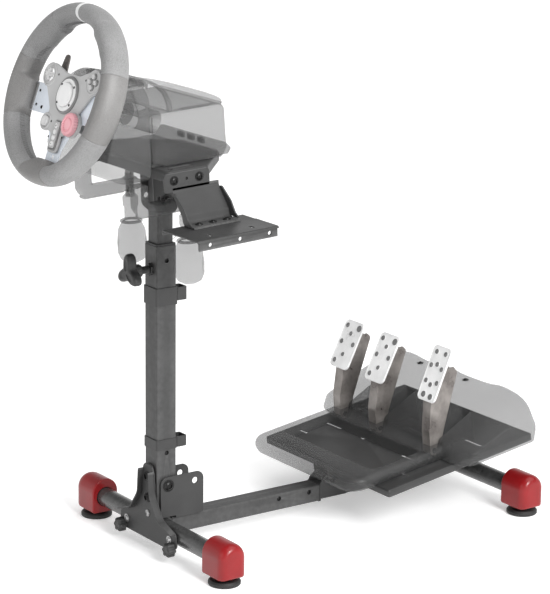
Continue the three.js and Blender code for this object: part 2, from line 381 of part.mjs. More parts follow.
// ================================================================ steering wheel (wheel frame)
{
  const g = new THREE.TorusGeometry(RIM_R, RIM_T, 8, 32);
  g.rotateX(Math.PI / 2);
  g.scale(1, RIM_DEPTH / RIM_T, 1);
  g.translate(0, RIM_BACK, 0);
  // pockets that take the three spoke ends
  put(wheelG, 'rim_grip', cut(g, box(-127, 17.6, -39, -108, 21.4, 9), box(108, 17.6, -39, 127, 21.4, 9), box(-18, 17.6, -127, 18, 21.4, -108)), GRIP());
}
{
  const arc = (a0, a1, r, n = 5) => Array.from({ length: n + 1 }, (_, i) => { const a = a0 + (a1 - a0) * i / n; return [r * Math.cos(a), r * Math.sin(a)]; });
  const R = 124, d = (z) => Math.asin(z / R), dx = (x) => Math.acos(x / R);
  const pts = [
    ...arc(d(8), d(-38), R), [54, -38], [30, -62], [19, -86], ...arc(-dx(17), -Math.PI + dx(17), R, 3), [-19, -86], [-30, -62], [-54, -38],
    ...arc(Math.PI - d(-38), Math.PI - d(8), R), [-62, 10], [-46, 30], [46, 30], [62, 10]];
  const holes = [[-50.6, -6.5, 3.4], [50.6, -6.5, 3.4], [-72, -29, 3], [72, -29, 3], [-100, -14, 6], [100, -14, 6], [0, -106, 5]].map(([x, z, r]) => circ(x, z, r, 12).reverse());
  put(wheelG, 'spoke_plate', ext('y', pts.reverse(), 18, 21, holes), ALU());
}
const POD_L = [-67, 25], POD_R = [63, 30], POD_LL = [-40, -48], DIAL = [38, -43];
const Y0 = 12, Y1 = 17.7;     // hub housing, front to back
{
  const disc = (x, z, r, n = 24) => man(cyl('y', x, z, r, Y0, Y1, n));
  let h = disc(0, 0, 31, 28).add(disc(...POD_L, 19.5)).add(disc(...POD_R, 21)).add(disc(...POD_LL, 14.5, 20)).add(disc(...DIAL, 20.5));
  const bridge = round([[-80, 34, 10], [-60, 44, 6], [-20, 34, 12], [20, 34, 12], [60, 50, 6], [80, 40, 10], [70, 16, 10], [40, -30, 8], [46, -60, 8], [14, -60, 8], [14, -93, 6], [-14, -93, 6], [-14, -60, 8], [-46, -58, 8], [-38, -30, 8], [-66, 8, 10]], 3);
  h = h.add(man(ext('y', bridge, Y0 + 0.8, Y1)));
  h = h.add(man(cyl('y', 0, 0, 27, 9.5, Y0 + 1, 28)));
  const hole = (x, z, r, n = 16) => man(cyl('y', x, z, r, 0, 30, n));
  h = h.subtract(hole(...POD_L, 10.9)).subtract(hole(...POD_LL, 8.9));
  for (const [a, b] of [[8.7, 0], [-8.7, 0], [0, 8.7], [0, -8.7]]) h = h.subtract(hole(POD_R[0] + a, POD_R[1] + b, 4.6, 12));
  h = h.subtract(man(ext('y', rect(-7.9, -86.9, 7.9, -43.1), 0, 30)));
  put(wheelG, 'hub_housing', h, SHELL());
  put(wheelG, 'hub_cap', cyl('y', 0, 0, 19.5, 5.5, 9.2, 28), SHELL2());
    const a = 10, b = 3.8;
  const cross = [[b, a], [-b, a], [-b, b], [-a, b], [-a, -b], [-b, -b], [-b, -a], [b, -a], [b, -b], [a, -b], [a, b], [b, b]].map(([x, z]) => [x + POD_L[0], z + POD_L[1]]);
  put(wheelG, 'dpad', union(ext('y', cross, 8.6, 13.5), cyl('y', ...POD_L, 4.6, 13, 16.4, 12)), SHELL2());
  const names = { button_right: [8.7, 0], button_left: [-8.7, 0], button_upper: [0, 8.7], button_lower: [0, -8.7] };
  for (const [n, [dx, dz]] of Object.entries(names)) put(wheelG, n, cyl('y', POD_R[0] + dx, POD_R[1] + dz, 4.2, 8.4, 15.6, 12), SHELL2());
  put(wheelG, 'thumb_button', cyl('y', ...POD_LL, 8.5, 9, 15.6, 16), SHELL2());
  put(wheelG, 'rocker', union(ext('y', rect(-7.4, -86.4, 7.4, -43.6), 9.5, 13.6), cyl('x', 15, -65, 1.5, -7, 7, 8)), SHELL2());
  const kn = []; for (let k = 0; k < 48; k++) { const q = k * Math.PI / 24, r = k % 2 ? 18.8 : 17.9; kn.push([DIAL[0] + r * Math.cos(q), DIAL[1] + r * Math.sin(q)]); }
  put(wheelG, 'dial', ext('y', kn, 3.5, 11.6), RED());
  for (const [n, s] of [['paddle_left', -1], ['paddle_right', 1]]) {
    const p = round([[-37, -16, 0], [-37, 12, 4], [-50, 26, 10], [-55, 63, 5], [-67, 63, 5], [-76, 20, 12], [-74, -16, 8]], 3).map(q => [-s * q[0], q[1]]);
    put(wheelG, n, ext('y', p, 31, 33.5), ALU());
  }
}

// ================================================================ pedal tray and pedal set (tray frame)
{
  const t = SHEET, L = TRAY_L, H = TRAY_HX;
  let p = cut(ext('z', rrect(-H, 0, H, L, 4, 2), -13, 0), ext('z', rrect(-H + t, t, H - t, L - t, 3, 2), -20, -t));
  // lugs on the saddle pivot
  const c = Math.cos(TRAY_TILT), s = Math.sin(TRAY_TILT);
  const py = (SADDLE_Y - TRAY_Y) * c + (SADDLE_Z - TRAY_Z) * s, pz = -(SADDLE_Y - TRAY_Y) * s + (SADDLE_Z - TRAY_Z) * c;
  const lug = round([[py - 12, -1, 0], [py - 12, pz - 9, 8], [py + 12, pz - 9, 8], [py + 26, -1, 0]], 3), hole = [circ(py, pz, 4.4, 12).reverse()];
  for (const x of [18.6, -21.6]) p = p.add(man(ext('x', lug, x, x + 3, hole)));
  // slots for fastening a pedal set
  const slot = (x0, x1, y) => man(ext('z', rrect(x0, y - 3, x1, y + 3, 2.9, 2), -10, 10));
  const T = (y) => (y - TRAY_Y) / c;
  for (const [a, b, y] of [[-160, -134, 405], [-148, -101, 457], [-43, -28, 456], [77, 111, 455], [110, 158, 570], [75, 110, 650]]) p = p.subtract(slot(a, b, T(y)));
  for (const [a, b, y] of [[134, 160, 405], [101, 148, 500], [-158, -110, 570]]) p = p.subtract(slot(a, b, T(y)));
  put(trayG, 'pedal_plate', p, BLACK());
}
{
  // pedal base: thin heel plate in front, wedge-shaped body behind, open underneath
  const heel = round([[-48, 5, 0], [-57, 12, 7], [-50, 25, 8], [110, 22, 0], [160, 26, 0], [160, 5, 0]], 4);
  const bodyS = round([[138, 0.4, 3], [322, 0.4, 4], [328, 30, 10], [316, 75, 14], [268, 72, 20], [150, 34, 10]], 4);
  const heelM = man(ext('x', heel, -155, 155)).intersect(man(ext('z', round([[-155, 170, 0], [-155, -57, 34], [155, -57, 34], [155, 170, 0]], 4), 0, 40)));
  const lowHeel = ext('z', round([[-155, 150, 0], [-155, 0.6, 6], [155, 0.6, 6], [155, 150, 0]], 3), 0.4, 12);
  const plan = round([[-206, 138, 20], [206, 138, 20], [214, 300, 30], [190, 330, 20], [-190, 330, 20], [-214, 300, 30]], 4);
  const bodyM = man(ext('x', bodyS, -214, 214)).intersect(man(ext('z', plan, 0, 90)));
  let b = heelM.add(man(lowHeel)).add(bodyM);
  const in1 = man(ext('x', round([[-46, 6, 0], [-53, 12, 5], [-48, 21.5, 6], [110, 18.6, 0], [160, 22, 0], [160, -5, 0], [4, -5, 0], [4, 6, 0]], 3), -151, 151)).intersect(man(ext('z', round([[-151, 170, 0], [-151, -53, 30], [151, -53, 30], [151, 170, 0]], 4), -10, 40)));
  // keep the floor of the nose closed
  const noseFloor = man(box(-155, -60, -1, 155, 3.8, 8.6));
  const in2 = man(ext('x', round([[143.5, -5, 0], [318, -5, 0], [324, 30, 8], [313, 71.5, 12], [268, 68.5, 18], [157, 32.3, 6], [151.5, 22, 0]], 4), -210, 210)).intersect(man(ext('z', round([[-202, 130, 10], [202, 130, 10], [210, 300, 26], [187, 326, 16], [-187, 326, 16], [-210, 300, 26]], 4), -10, 90)));
  // open heel frame: a window over the tray, walled all round
  const tower = man(ext('z', rrect(-138.5, 2.5, 138.5, 111.5, 15, 3), -10, 40)), win = man(ext('z', rrect(-135, 6, 135, 108, 12, 3), -10, 60));
  b = b.subtract(in1.subtract(noseFloor).subtract(tower)).subtract(in2).subtract(win);
  for (const x of PED_X) b = b.subtract(man(box(x - 14, 118, -5, x + 14, 226, 90)));
  put(trayG, 'pedal_base', b, SHELL2());
  // arms and pads
  const names = ['clutch', 'brake', 'throttle'];
  PED_X.forEach((x, k) => {
    const arm = round(k < 2
      ? [[131, 5, 6], [152, 5, 6], [163, 42, 0], [215, 141, 3], [208, 149.5, 3], [180.8, 149.8, 0], [148, 103, 0], [133, 50, 6]]
      : [[131, 5, 6], [152, 5, 6], [163, 42, 0], [206, 141, 3], [199, 152, 3], [171, 152.3, 0], [143.6, 108.2, 0], [133, 50, 6]], 3);
    // folded channel: closed towards the pad, open behind
    const g = cut(ext('x', arm, x - 11, x + 11), ext('x', arm.map(([a, b]) => [a + 3.5, b]), x - 8, x + 8), ext('x', circ(PIVY, PIVZ, 3.5, 10), x - 20, x + 20));
    put(trayG, names[k] + '_arm', g, ZINC());
    const [w, h, lean, cy, cz] = PADS[k];
    const pad = put(trayG, names[k] + '_pad', ext('z', rrect(-w, -h, w, h, 9, 3), 0, 3), PAD());
    pad.rotation.x = Math.PI / 2 - lean * Math.PI / 180;
    const q = lean * Math.PI / 180;
    pad.position.set(x, cy + 3 * Math.cos(q), cz - 3 * Math.sin(q));
  });
}

// ================================================================ origin: bottom centre of the bounding box
root.updateMatrixWorld(true);
const bb = new THREE.Box3().setFromObject(root, true);
const shift = new THREE.Vector3(-(bb.min.x + bb.max.x) / 2, -(bb.min.y + bb.max.y) / 2, -bb.min.z);
root.position.copy(shift);
root.updateMatrixWorld(true);
export default root;
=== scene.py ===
"""Looks of the racing wheel rig: folding stand, force-feedback wheel and pedal set.

Everything is built in millimetres in the part's own construction frames and placed by
the four matrices below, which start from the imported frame's own boxes.
"""
import math, random
import bpy, bmesh
from mathutils import Vector, Matrix


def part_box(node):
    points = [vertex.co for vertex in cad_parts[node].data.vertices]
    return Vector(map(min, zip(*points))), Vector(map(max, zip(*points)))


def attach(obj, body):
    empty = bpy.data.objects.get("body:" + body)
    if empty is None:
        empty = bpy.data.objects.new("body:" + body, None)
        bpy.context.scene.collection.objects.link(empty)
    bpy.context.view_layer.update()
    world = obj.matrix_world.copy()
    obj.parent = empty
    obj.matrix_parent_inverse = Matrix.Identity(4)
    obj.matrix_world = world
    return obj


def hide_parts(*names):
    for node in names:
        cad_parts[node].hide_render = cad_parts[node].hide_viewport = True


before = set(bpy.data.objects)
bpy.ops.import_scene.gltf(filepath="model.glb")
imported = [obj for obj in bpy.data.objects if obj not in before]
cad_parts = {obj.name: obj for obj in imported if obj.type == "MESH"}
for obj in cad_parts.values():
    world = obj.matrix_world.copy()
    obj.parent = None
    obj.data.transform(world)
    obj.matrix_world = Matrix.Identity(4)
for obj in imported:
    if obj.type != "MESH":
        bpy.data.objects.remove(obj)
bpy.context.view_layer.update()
scene = bpy.context.scene
rnd = random.Random(7)
R = math.radians
pi = math.pi

# ------------------------------------------------------------------ frames
_lo, _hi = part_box("rear_cross_tube")
MS = Matrix.Translation(((_lo.x + _hi.x) / 2, (_lo.y + _hi.y) / 2, 0)) @ Matrix.Scale(0.001, 4)
PR, TILT, TT = R(2.75), R(20), R(8.61)
MW = MS @ Matrix.Translation((0, -180, 790)) @ Matrix.Rotation(-TILT, 4, "X")
ML = MS @ Matrix.Translation((0, 5, 600)) @ Matrix.Rotation(PR, 4, "X") @ Matrix.Translation((0, -5, -600))
MT = MS @ Matrix.Translation((0, 346, 88)) @ Matrix.Rotation(TT, 4, "X")

# ------------------------------------------------------------------ outlines
def rounded(pts, seg=8):
    out, n = [], len(pts)
    for i, p in enumerate(pts):
        x, y, r = (list(p) + [0])[:3]
        if not r:
            out.append((x, y)); continue
        a, b = pts[i - 1], pts[(i + 1) % n]
        u, v = Vector((a[0] - x, a[1] - y)), Vector((b[0] - x, b[1] - y))
        lu, lv = u.length, v.length
        u.normalize(); v.normalize()
        half = math.acos(max(-1, min(1, u.dot(v)))) / 2
        if half > 1.56:
            out += [(x, y)] * (seg + 1); continue
        t = min(r / math.tan(half), lu * .49, lv * .49)
        rr = t * math.tan(half)
        p0, p1 = Vector((x, y)) + u * t, Vector((x, y)) + v * t
        c = Vector((x, y)) + (u + v).normalized() * (rr / math.sin(half))
        a0, a1 = math.atan2(*(p0 - c).yx), math.atan2(*(p1 - c).yx)
        while a1 - a0 > pi: a1 -= 2 * pi
        while a1 - a0 < -pi: a1 += 2 * pi
        for k in range(seg + 1):
            q = a0 + (a1 - a0) * k / seg
            out.append((c.x + rr * math.cos(q), c.y + rr * math.sin(q)))
    return out

def rrect(x0, y0, x1, y1, r, seg=8):
    return rounded([(x0, y0, r), (x1, y0, r), (x1, y1, r), (x0, y1, r)], seg)

def circ(cx, cy, r, n=32, a0=0.0):
    return [(cx + r * math.cos(a0 + k * 2 * pi / n), cy + r * math.sin(a0 + k * 2 * pi / n)) for k in range(n)]

def area(p):
    return sum(p[i - 1][0] * p[i][1] - p[i][0] * p[i - 1][1] for i in range(len(p))) / 2

def dedupe(p, e=1e-4):
    out = []
    for q in p:
        if not out or (Vector(q) - Vector(out[-1])).length > e:
            out.append(q)
    if (Vector(out[0]) - Vector(out[-1])).length < e:
        out.pop()
    return out

# a solid is (verts, faces), in mm
def fix(v, f):
    bm = bmesh.new()
    vs = [bm.verts.new(p) for p in v]
    for q in f:
        try: bm.faces.new([vs[i] for i in q])
        except ValueError: pass
    bmesh.ops.remove_doubles(bm, verts=bm.verts, dist=1e-4)
    bmesh.ops.recalc_face_normals(bm, faces=bm.faces)
    bm.verts.index_update()
    out = [tuple(x.co) for x in bm.verts], [[x.index for x in q.verts] for q in bm.faces]
    bm.free()
    return out

def axmap(axis):
    return {"z": lambda a, b, t: (a, b, t), "y": lambda a, b, t: (a, t, b), "x": lambda a, b, t: (t, a, b)}[axis]

def prism(pts, lo, hi, axis="z", holes=(), bev=0.5, seg=2):
    """A plate with holes and rounded edges."""
    c = bpy.data.curves.new("tmp", "CURVE")
    c.dimensions, c.fill_mode = "2D", "BOTH"
    bev = min(bev, (hi - lo) * .49)
    c.extrude, c.bevel_depth, c.offset, c.bevel_resolution = (hi - lo) / 2 - bev, bev, -bev, seg - 1
    for k, loop in enumerate([pts, *holes]):
        loop = dedupe(loop)
        if (area(loop) > 0) != (k == 0): loop = loop[::-1]
        s = c.splines.new("POLY")
        s.points.add(len(loop) - 1)
        for q, p in zip(s.points, loop): q.co = (p[0], p[1], 0, 1)
        s.use_cyclic_u = True
    o = bpy.data.objects.new("tmp", c)
    scene.collection.objects.link(o)
    me = bpy.data.meshes.new_from_object(o.evaluated_get(bpy.context.evaluated_depsgraph_get()))
    m, f0 = (lo + hi) / 2, axmap(axis)
    v = [f0(q.co.x, q.co.y, q.co.z + m) for q in me.vertices]
    f = [list(p.vertices) for p in me.polygons]
    bpy.data.objects.remove(o); bpy.data.curves.remove(c); bpy.data.meshes.remove(me)
    return fix(v, f)

def loft(rings, cap=True, closed=False):
    n, v, f = len(rings[0]), [], []
    for r in rings: v += [tuple(p) for p in r]
    m = len(rings)
    for i in range(m if closed else m - 1):
        for j in range(n):
            a, b = i * n + j, i * n + (j + 1) % n
            c, d = ((i + 1) % m) * n + j, ((i + 1) % m) * n + (j + 1) % n
            f.append([a, b, d, c])
    if cap and not closed:
        f += [list(range(n))[::-1], [(m - 1) * n + j for j in range(n)]]
    return fix(v, f)

def fillet_profile(pts, seg=5):
    """Rounds the corners of an open (r, t) profile; each point is (r, t, fillet)."""
    out = []
    for i, p in enumerate(pts):
        if i in (0, len(pts) - 1) or len(p) < 3 or not p[2]:
            out.append(tuple(p[:2])); continue
        tri = rounded([pts[i - 1][:2], p, pts[i + 1][:2]], seg)
        k = tri.index(tuple(pts[i - 1][:2]))
        out += (tri[k + 1:] + tri[:k])[:seg + 1]
    return out

def lathe(profile, axis="z", a=0.0, b=0.0, n=48, seg=5, phase=0.0):
    """Turned part about an axis through (a, b); profile of (r, t[, fillet])."""
    m = axmap(axis)
    pr = fillet_profile(profile, seg)
    v, f, rows = [], [], []
    for r, t in pr:
        if r < 1e-6:
            rows.append([len(v)]); v.append(m(a, b, t))
        else:
            rows.append(list(range(len(v), len(v) + n)))
            v += [m(a + r * math.cos(phase + k * 2 * pi / n), b + r * math.sin(phase + k * 2 * pi / n), t) for k in range(n)]
    for p, q in zip(rows, rows[1:]):
        for k in range(n):
            l = (k + 1) % n
            if len(p) == 1 and len(q) == 1: continue
            if len(p) == 1: f.append([p[0], q[k], q[l]])
            elif len(q) == 1: f.append([p[k], p[l], q[0]])
            else: f.append([p[k], p[l], q[l], q[k]])
    if len(rows[0]) > 1 and len(rows[-1]) > 1:
        p, q = rows[-1], rows[0]
        f += [[p[k], p[(k + 1) % n], q[(k + 1) % n], q[k]] for k in range(n)]
    return fix(v, f)

def rbox(x0, y0, z0, x1, y1, z1, r=1.0, seg=3):
    bm = bmesh.new()
    bmesh.ops.create_cube(bm, size=1)
    for q in bm.verts:
        q.co = Vector(((x0 + x1) / 2 + q.co.x * (x1 - x0), (y0 + y1) / 2 + q.co.y * (y1 - y0), (z0 + z1) / 2 + q.co.z * (z1 - z0)))
    r = min(r, (x1 - x0) * .45, (y1 - y0) * .45, (z1 - z0) * .45)
    bmesh.ops.bevel(bm, geom=bm.edges[:], offset=r, segments=seg, profile=.5, affect="EDGES", clamp_overlap=True)
    bm.verts.index_update()
    out = [tuple(q.co) for q in bm.verts], [[q.index for q in p.verts] for p in bm.faces]
    bm.free()
    return out

def tube(path, r, n=10, closed=False):
    P = [Vector(p) for p in path]
    rings, up = [], None
    m = len(P)
    for i in range(m):
        d = (P[(i + 1) % m] - P[i - 1]) if closed else (P[min(i + 1, m - 1)] - P[max(i - 1, 0)])
        d.normalize()
        if up is None: up = d.orthogonal().normalized()
        up = (up - d * up.dot(d)).normalized()
        s = d.cross(up)
        rr = r[i] if isinstance(r, (list, tuple)) else r
        rings.append([P[i] + (up * math.cos(k * 2 * pi / n) + s * math.sin(k * 2 * pi / n)) * rr for k in range(n)])
    return loft(rings, closed=closed)

def moved(s, M):
    return [tuple(M @ Vector(p)) for p in s[0]], s[1]

def joined(*ss):
    v, f = [], []
    for a, b in ss:
        k = len(v); v += list(a); f += [[i + k for i in q] for q in b]
    return v, f

def as_obj(s, name="tmp"):
    me = bpy.data.meshes.new(name)
    me.from_pydata(s[0], [], s[1])
    o = bpy.data.objects.new(name, me)
    scene.collection.objects.link(o)
    return o

def boolean(a, *cutters, op="DIFFERENCE"):
    o = as_obj(a)
    cs = [as_obj(c) for c in cutters]
    for c in cs:
        m = o.modifiers.new("b", "BOOLEAN")
        m.operation, m.solver, m.object = op, "EXACT", c
    me = bpy.data.meshes.new_from_object(o.evaluated_get(bpy.context.evaluated_depsgraph_get()))
    out = [tuple(q.co) for q in me.vertices], [list(p.vertices) for p in me.polygons]
    for x in [o, *cs]:
        d = x.data; bpy.data.objects.remove(x); bpy.data.meshes.remove(d)
    bpy.data.meshes.remove(me)
    return out

def at(pos, axis, spin=0.0):
    """Local Z onto the axis, at pos."""
    q = Vector((0, 0, 1)).rotation_difference(Vector(axis))
    return Matrix.Translation(pos) @ q.to_matrix().to_4x4() @ Matrix.Rotation(spin, 4, "Z")

# ------------------------------------------------------------------ materials
def _n(t, kind, **kw):
    n = t.nodes.new(kind)
    for k, v in kw.items():
        if hasattr(n, k): setattr(n, k, v)
    return n

def surface(name, lo, hi, rough=(.4, .5), metal=0.0, scale=30, fine=900, bump=.15, dist=.0004, coat=0.0,
            coat_rough=.2, kind="noise", stretch=None, detail=4, spec=.5, sheen=0.0, edge_wear_and_highlight=None, alpha=1.0):
    """Colour, roughness and fine relief from noise in the piece's own coordinates.
    lo and hi are the two colours (linear) the surface drifts between; the edge colour argument goes in noisy patches on
    sharp convex edges, partly rubbed wear and partly a painted edge highlight."""
    m = bpy.data.materials.new(name)
    m.use_nodes = True
    t = m.node_tree
    b = t.nodes["Principled BSDF"]
    co = _n(t, "ShaderNodeTexCoord")
    src = co.outputs["Object"]
    big = _n(t, "ShaderNodeTexNoise"); big.inputs["Scale"].default_value = scale; big.inputs["Detail"].default_value = detail
    t.links.new(src, big.inputs["Vector"])
    mp = _n(t, "ShaderNodeMapping")
    mp.inputs["Scale"].default_value = stretch or (1, 1, 1)
    t.links.new(src, mp.inputs["Vector"])
    ramp = _n(t, "ShaderNodeValToRGB")
    ramp.color_ramp.elements[0].position, ramp.color_ramp.elements[1].position = .35, .65
    ramp.color_ramp.elements[0].color, ramp.color_ramp.elements[1].color = (*lo, 1), (*hi, 1)
    t.links.new(big.outputs["Fac"], ramp.inputs["Fac"])
    col = ramp.outputs["Color"]
    if kind == "grain":
        f = _n(t, "ShaderNodeTexVoronoi"); f.feature = "DISTANCE_TO_EDGE"; f.inputs["Scale"].default_value = fine
        fac = f.outputs["Distance"]
        mr = _n(t, "ShaderNodeMapRange"); mr.inputs["From Max"].default_value = .25
        t.links.new(fac, mr.inputs["Value"]); fac = mr.outputs["Result"]
    else:
        f = _n(t, "ShaderNodeTexNoise"); f.inputs["Scale"].default_value = fine; f.inputs["Detail"].default_value = 3
        fac = f.outputs["Fac"]
    t.links.new(mp.outputs["Vector"], f.inputs["Vector"])
    if kind in ("brushed", "grain"):
        mix = _n(t, "ShaderNodeMix"); mix.data_type = "RGBA"; mix.blend_type = "MULTIPLY"
        r2 = _n(t, "ShaderNodeMapRange"); r2.inputs["To Min"].default_value = .82 if kind == "brushed" else .72; r2.inputs["To Max"].default_value = 1.06
        t.links.new(fac, r2.inputs["Value"])
        mix.inputs[0].default_value = 1
        t.links.new(col, mix.inputs[6]); t.links.new(r2.outputs["Result"], mix.inputs[7])
        col = mix.outputs[2]
    # lighter noisy patches on sharp convex edges (pointiness times noise): partly wear, partly a painted edge highlight
    if edge_wear_and_highlight:
        g = _n(t, "ShaderNodeNewGeometry")
        pm = _n(t, "ShaderNodeMapRange"); pm.inputs["From Min"].default_value = .54; pm.inputs["From Max"].default_value = .68
        t.links.new(g.outputs["Pointiness"], pm.inputs["Value"])
        wn = _n(t, "ShaderNodeTexNoise"); wn.inputs["Scale"].default_value = 120; t.links.new(src, wn.inputs["Vector"])
        mm = _n(t, "ShaderNodeMath"); mm.operation = "MULTIPLY"
        t.links.new(pm.outputs["Result"], mm.inputs[0]); t.links.new(wn.outputs["Fac"], mm.inputs[1])
        wx = _n(t, "ShaderNodeMix"); wx.data_type = "RGBA"
        t.links.new(mm.outputs[0], wx.inputs[0]); t.links.new(col, wx.inputs[6]); wx.inputs[7].default_value = (*edge_wear_and_highlight, 1)
        col = wx.outputs[2]
    t.links.new(col, b.inputs["Base Color"])
    rr = _n(t, "ShaderNodeMapRange")
    rr.inputs["From Min"].default_value, rr.inputs["From Max"].default_value = .3, .7
    rr.inputs["To Min"].default_value, rr.inputs["To Max"].default_value = rough
    t.links.new(big.outputs["Fac"], rr.inputs["Value"]); t.links.new(rr.outputs["Result"], b.inputs["Roughness"])
    bp = _n(t, "ShaderNodeBump"); bp.inputs["Strength"].default_value = bump; bp.inputs["Distance"].default_value = dist
    t.links.new(fac, bp.inputs["Height"]); t.links.new(bp.outputs["Normal"], b.inputs["Normal"])
    b.inputs["Metallic"].default_value = metal
    b.inputs["Specular IOR Level"].default_value = spec
    if coat: b.inputs["Coat Weight"].default_value = coat; b.inputs["Coat Roughness"].default_value = coat_rough
    if sheen: b.inputs["Sheen Weight"].default_value = sheen
    if alpha < 1: b.inputs["Alpha"].default_value = alpha
    m.diffuse_color = (*hi, 1)
    return m

def g(v, tint=(0, 0, 0)):
    """sRGB grey level 0-255 to linear colour, with a small tint."""
    out = []
    for d in tint:
        c = max(0, min(255, v + d)) / 255
        out.append(c / 12.92 if c < .04045 else ((c + .055) / 1.055) ** 2.4)
    return tuple(out)

MAT = {
    "powder": surface("powder_coat", g(47), g(57), rough=(.4, .54), scale=14, fine=2600, bump=.25, dist=.0002, spec=.28, edge_wear_and_highlight=g(120)),
    "tubepaint": surface("tube_paint", g(34), g(41, (0, 1, 0)), rough=(.2, .3), scale=20, fine=1800, bump=.06, dist=.0002, coat=.3, edge_wear_and_highlight=g(90)),
    "dark": surface("plate_paint", g(48), g(58), rough=(.34, .48), scale=10, fine=2400, bump=.2, dist=.0002, spec=.3, edge_wear_and_highlight=g(125)),
    "red": surface("red_plastic", g(120, (0, -106, -102)), g(132, (0, -114, -110)), rough=(.26, .36), scale=25, fine=1500, bump=.08, dist=.0002, coat=.12, coat_rough=.16, spec=.35),
    "rubber": surface("rubber", g(22), g(32), rough=(.5, .68), scale=60, fine=1600, bump=.3, dist=.0003),
    "blackplastic": surface("black_plastic", g(34), g(42), rough=(.42, .55), scale=40, fine=2200, bump=.25, dist=.0002, edge_wear_and_highlight=g(80)),
    "bolt": surface("black_oxide", g(20), g(32), rough=(.25, .4), metal=.6, scale=80, fine=1400, bump=.08, dist=.0001, edge_wear_and_highlight=g(120)),
    "zinc": surface("zinc_plate", g(150), g(178), rough=(.25, .38), metal=.85, scale=60, fine=1300, bump=.05, dist=.0001),
    "shell": surface("shell_dark", g(84), g(96), rough=(.42, .52), scale=9, fine=2200, bump=.1, dist=.00022, spec=.4, alpha=.34),
    "shell2": surface("shell_light", g(68), g(78), rough=(.36, .48), scale=9, fine=2200, bump=.1, dist=.00022, spec=.45, alpha=.38),
    "shell3": surface("shell_mid", g(62), g(74), rough=(.4, .5), scale=9, fine=1400, bump=.06, dist=.00022, spec=.45, alpha=.46),
    "grip": surface("leather", g(126), g(138), rough=(.45, .6), kind="grain", scale=12, fine=520, bump=.5, dist=.0005, spec=.35, sheen=.1),
    "grip2": surface("leather_smooth", g(112, (1, 0, -1)), g(122, (1, 0, -1)), rough=(.4, .5), kind="grain", scale=12, fine=700, bump=.25, dist=.0004),
    "mark": surface("rim_mark", g(206), g(220), rough=(.4, .5), scale=40, fine=900, bump=.1),
    "thread": surface("thread", g(108), g(120), rough=(.7, .8), scale=200, fine=3000, bump=.3),
    "alu": surface("spoke_aluminium", g(236, (-7, 0, 9)), g(244, (-6, 0, 8)), rough=(.3, .42), metal=.2, kind="brushed", scale=20, fine=260, stretch=(14, 1, 1), bump=.08, dist=.0002),
    "pad": surface("pad_metal", g(212), g(232), rough=(.26, .38), metal=.25, kind="brushed", scale=20, fine=260, stretch=(1, 12, 12), bump=.06, dist=.0002),
    "arm": surface("arm_metal", g(96, (5, 0, -3)), g(138, (5, 0, -4)), rough=(.25, .4), metal=.5, kind="brushed", scale=30, fine=220, stretch=(12, 1, 1), bump=.06, dist=.0002),
    "stud": surface("stud_rubber", g(84), g(104), rough=(.5, .6), scale=100, fine=1800, bump=.2),
    "hub": surface("hub_plastic", g(176), g(188), rough=(.4, .5), scale=20, fine=2400, bump=.25, dist=.0002),
    "hubdark": surface("hub_ring", g(118), g(130), rough=(.35, .45), scale=30, fine=2400, bump=.2, dist=.0002),
    "cap": surface("hub_cap", g(222), g(230), rough=(.28, .36), scale=20, fine=2400, bump=.12, dist=.0002),
    "btn": surface("button_grey", g(196), g(208), rough=(.25, .35), scale=60, fine=2200, bump=.1, dist=.0002, coat=.2),
    "dial": surface("dial_red", g(224, (0, -66, -58)), g(234, (0, -62, -54)), rough=(.3, .42), scale=30, fine=1800, bump=.1, dist=.0002, coat=.15),
    # near-black fill put in holes and openings: painted shade
    "hole": surface("painted_hole_shade", g(12), g(18), rough=(.6, .7), scale=50, fine=900, bump=.1),
}

def piece(name, solids, M, body, mat, replaces=(), angle=32, keep_angle=True):
    """A mesh from one or several (solid, material) pairs, placed by M and riding on a body."""
    if isinstance(solids, tuple): solids = [(solids, mat)]
    for q in solids:
        assert len(q[0][1]) > 3, name + " came out empty"
    me = bpy.data.meshes.new(name)
    v, f, mi, names = [], [], [], []
    for s, m in solids:
        if m not in names: names.append(m)
        k = len(v)
        v += [tuple(M @ Vector(p)) for p in s[0]]
        f += [[i + k for i in q] for q in s[1]]
        mi += [names.index(m)] * len(s[1])
    me.from_pydata(v, [], f)
    for m in names: me.materials.append(MAT[m])
    me.polygons.foreach_set("material_index", mi)
    me.polygons.foreach_set("use_smooth", [True] * len(f))
    me.validate()
    me.set_sharp_from_angle(angle=R(angle))
    o = bpy.data.objects.new(name, me)
    scene.collection.objects.link(o)
    w = o.modifiers.new("wn", "WEIGHTED_NORMAL"); w.keep_sharp = True; w.weight = 60
    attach(o, body)
    if replaces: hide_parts(*replaces)
    return o

# small hardware, local Z outwards, sitting on z = 0
def hexhead(r=6.5, h=4.2, washer=9.0):
    out = [lathe([(0, 0), (washer, 0), (washer, 1.3, .4), (0, 1.3)], n=32)]
    hx = lathe([(0, 1.2), (r * .985, 1.2), (r, 1.5), (r, 1.2 + h - .9), (r * .84, 1.2 + h), (0, 1.2 + h)], n=6, seg=1)
    return joined(*out, hx)

def buttonhead(r=5.2, h=2.8, washer=0.0):
    parts = []
    z = 0
    if washer:
        parts.append(lathe([(0, 0), (washer, 0), (washer, 1.0, .3), (0, 1.0)], n=32)); z = .9
    prof = [(0, z)] + [(r * math.cos(a), z + h * math.sin(a)) for a in [0, .25, .5, .75, 1.0]]
    rs = r * .52
    prof += [(rs, z + h * .93), (rs * .97, z + h * .45), (0, z + h * .42)]
    parts.append(lathe(prof, n=30, seg=1))
    return joined(*parts)

def nyloc(r=6.5, h=6):
    return joined(lathe([(0, 0), (r, 0), (r, h * .7), (r * .86, h * .8), (0, h * .8)], n=6, seg=1),
                  lathe([(0, h * .75), (r * .74, h * .75), (r * .74, h, .6), (r * .4, h + .01), (r * .4, h - 1), (0, h - 1)], n=24, seg=3))

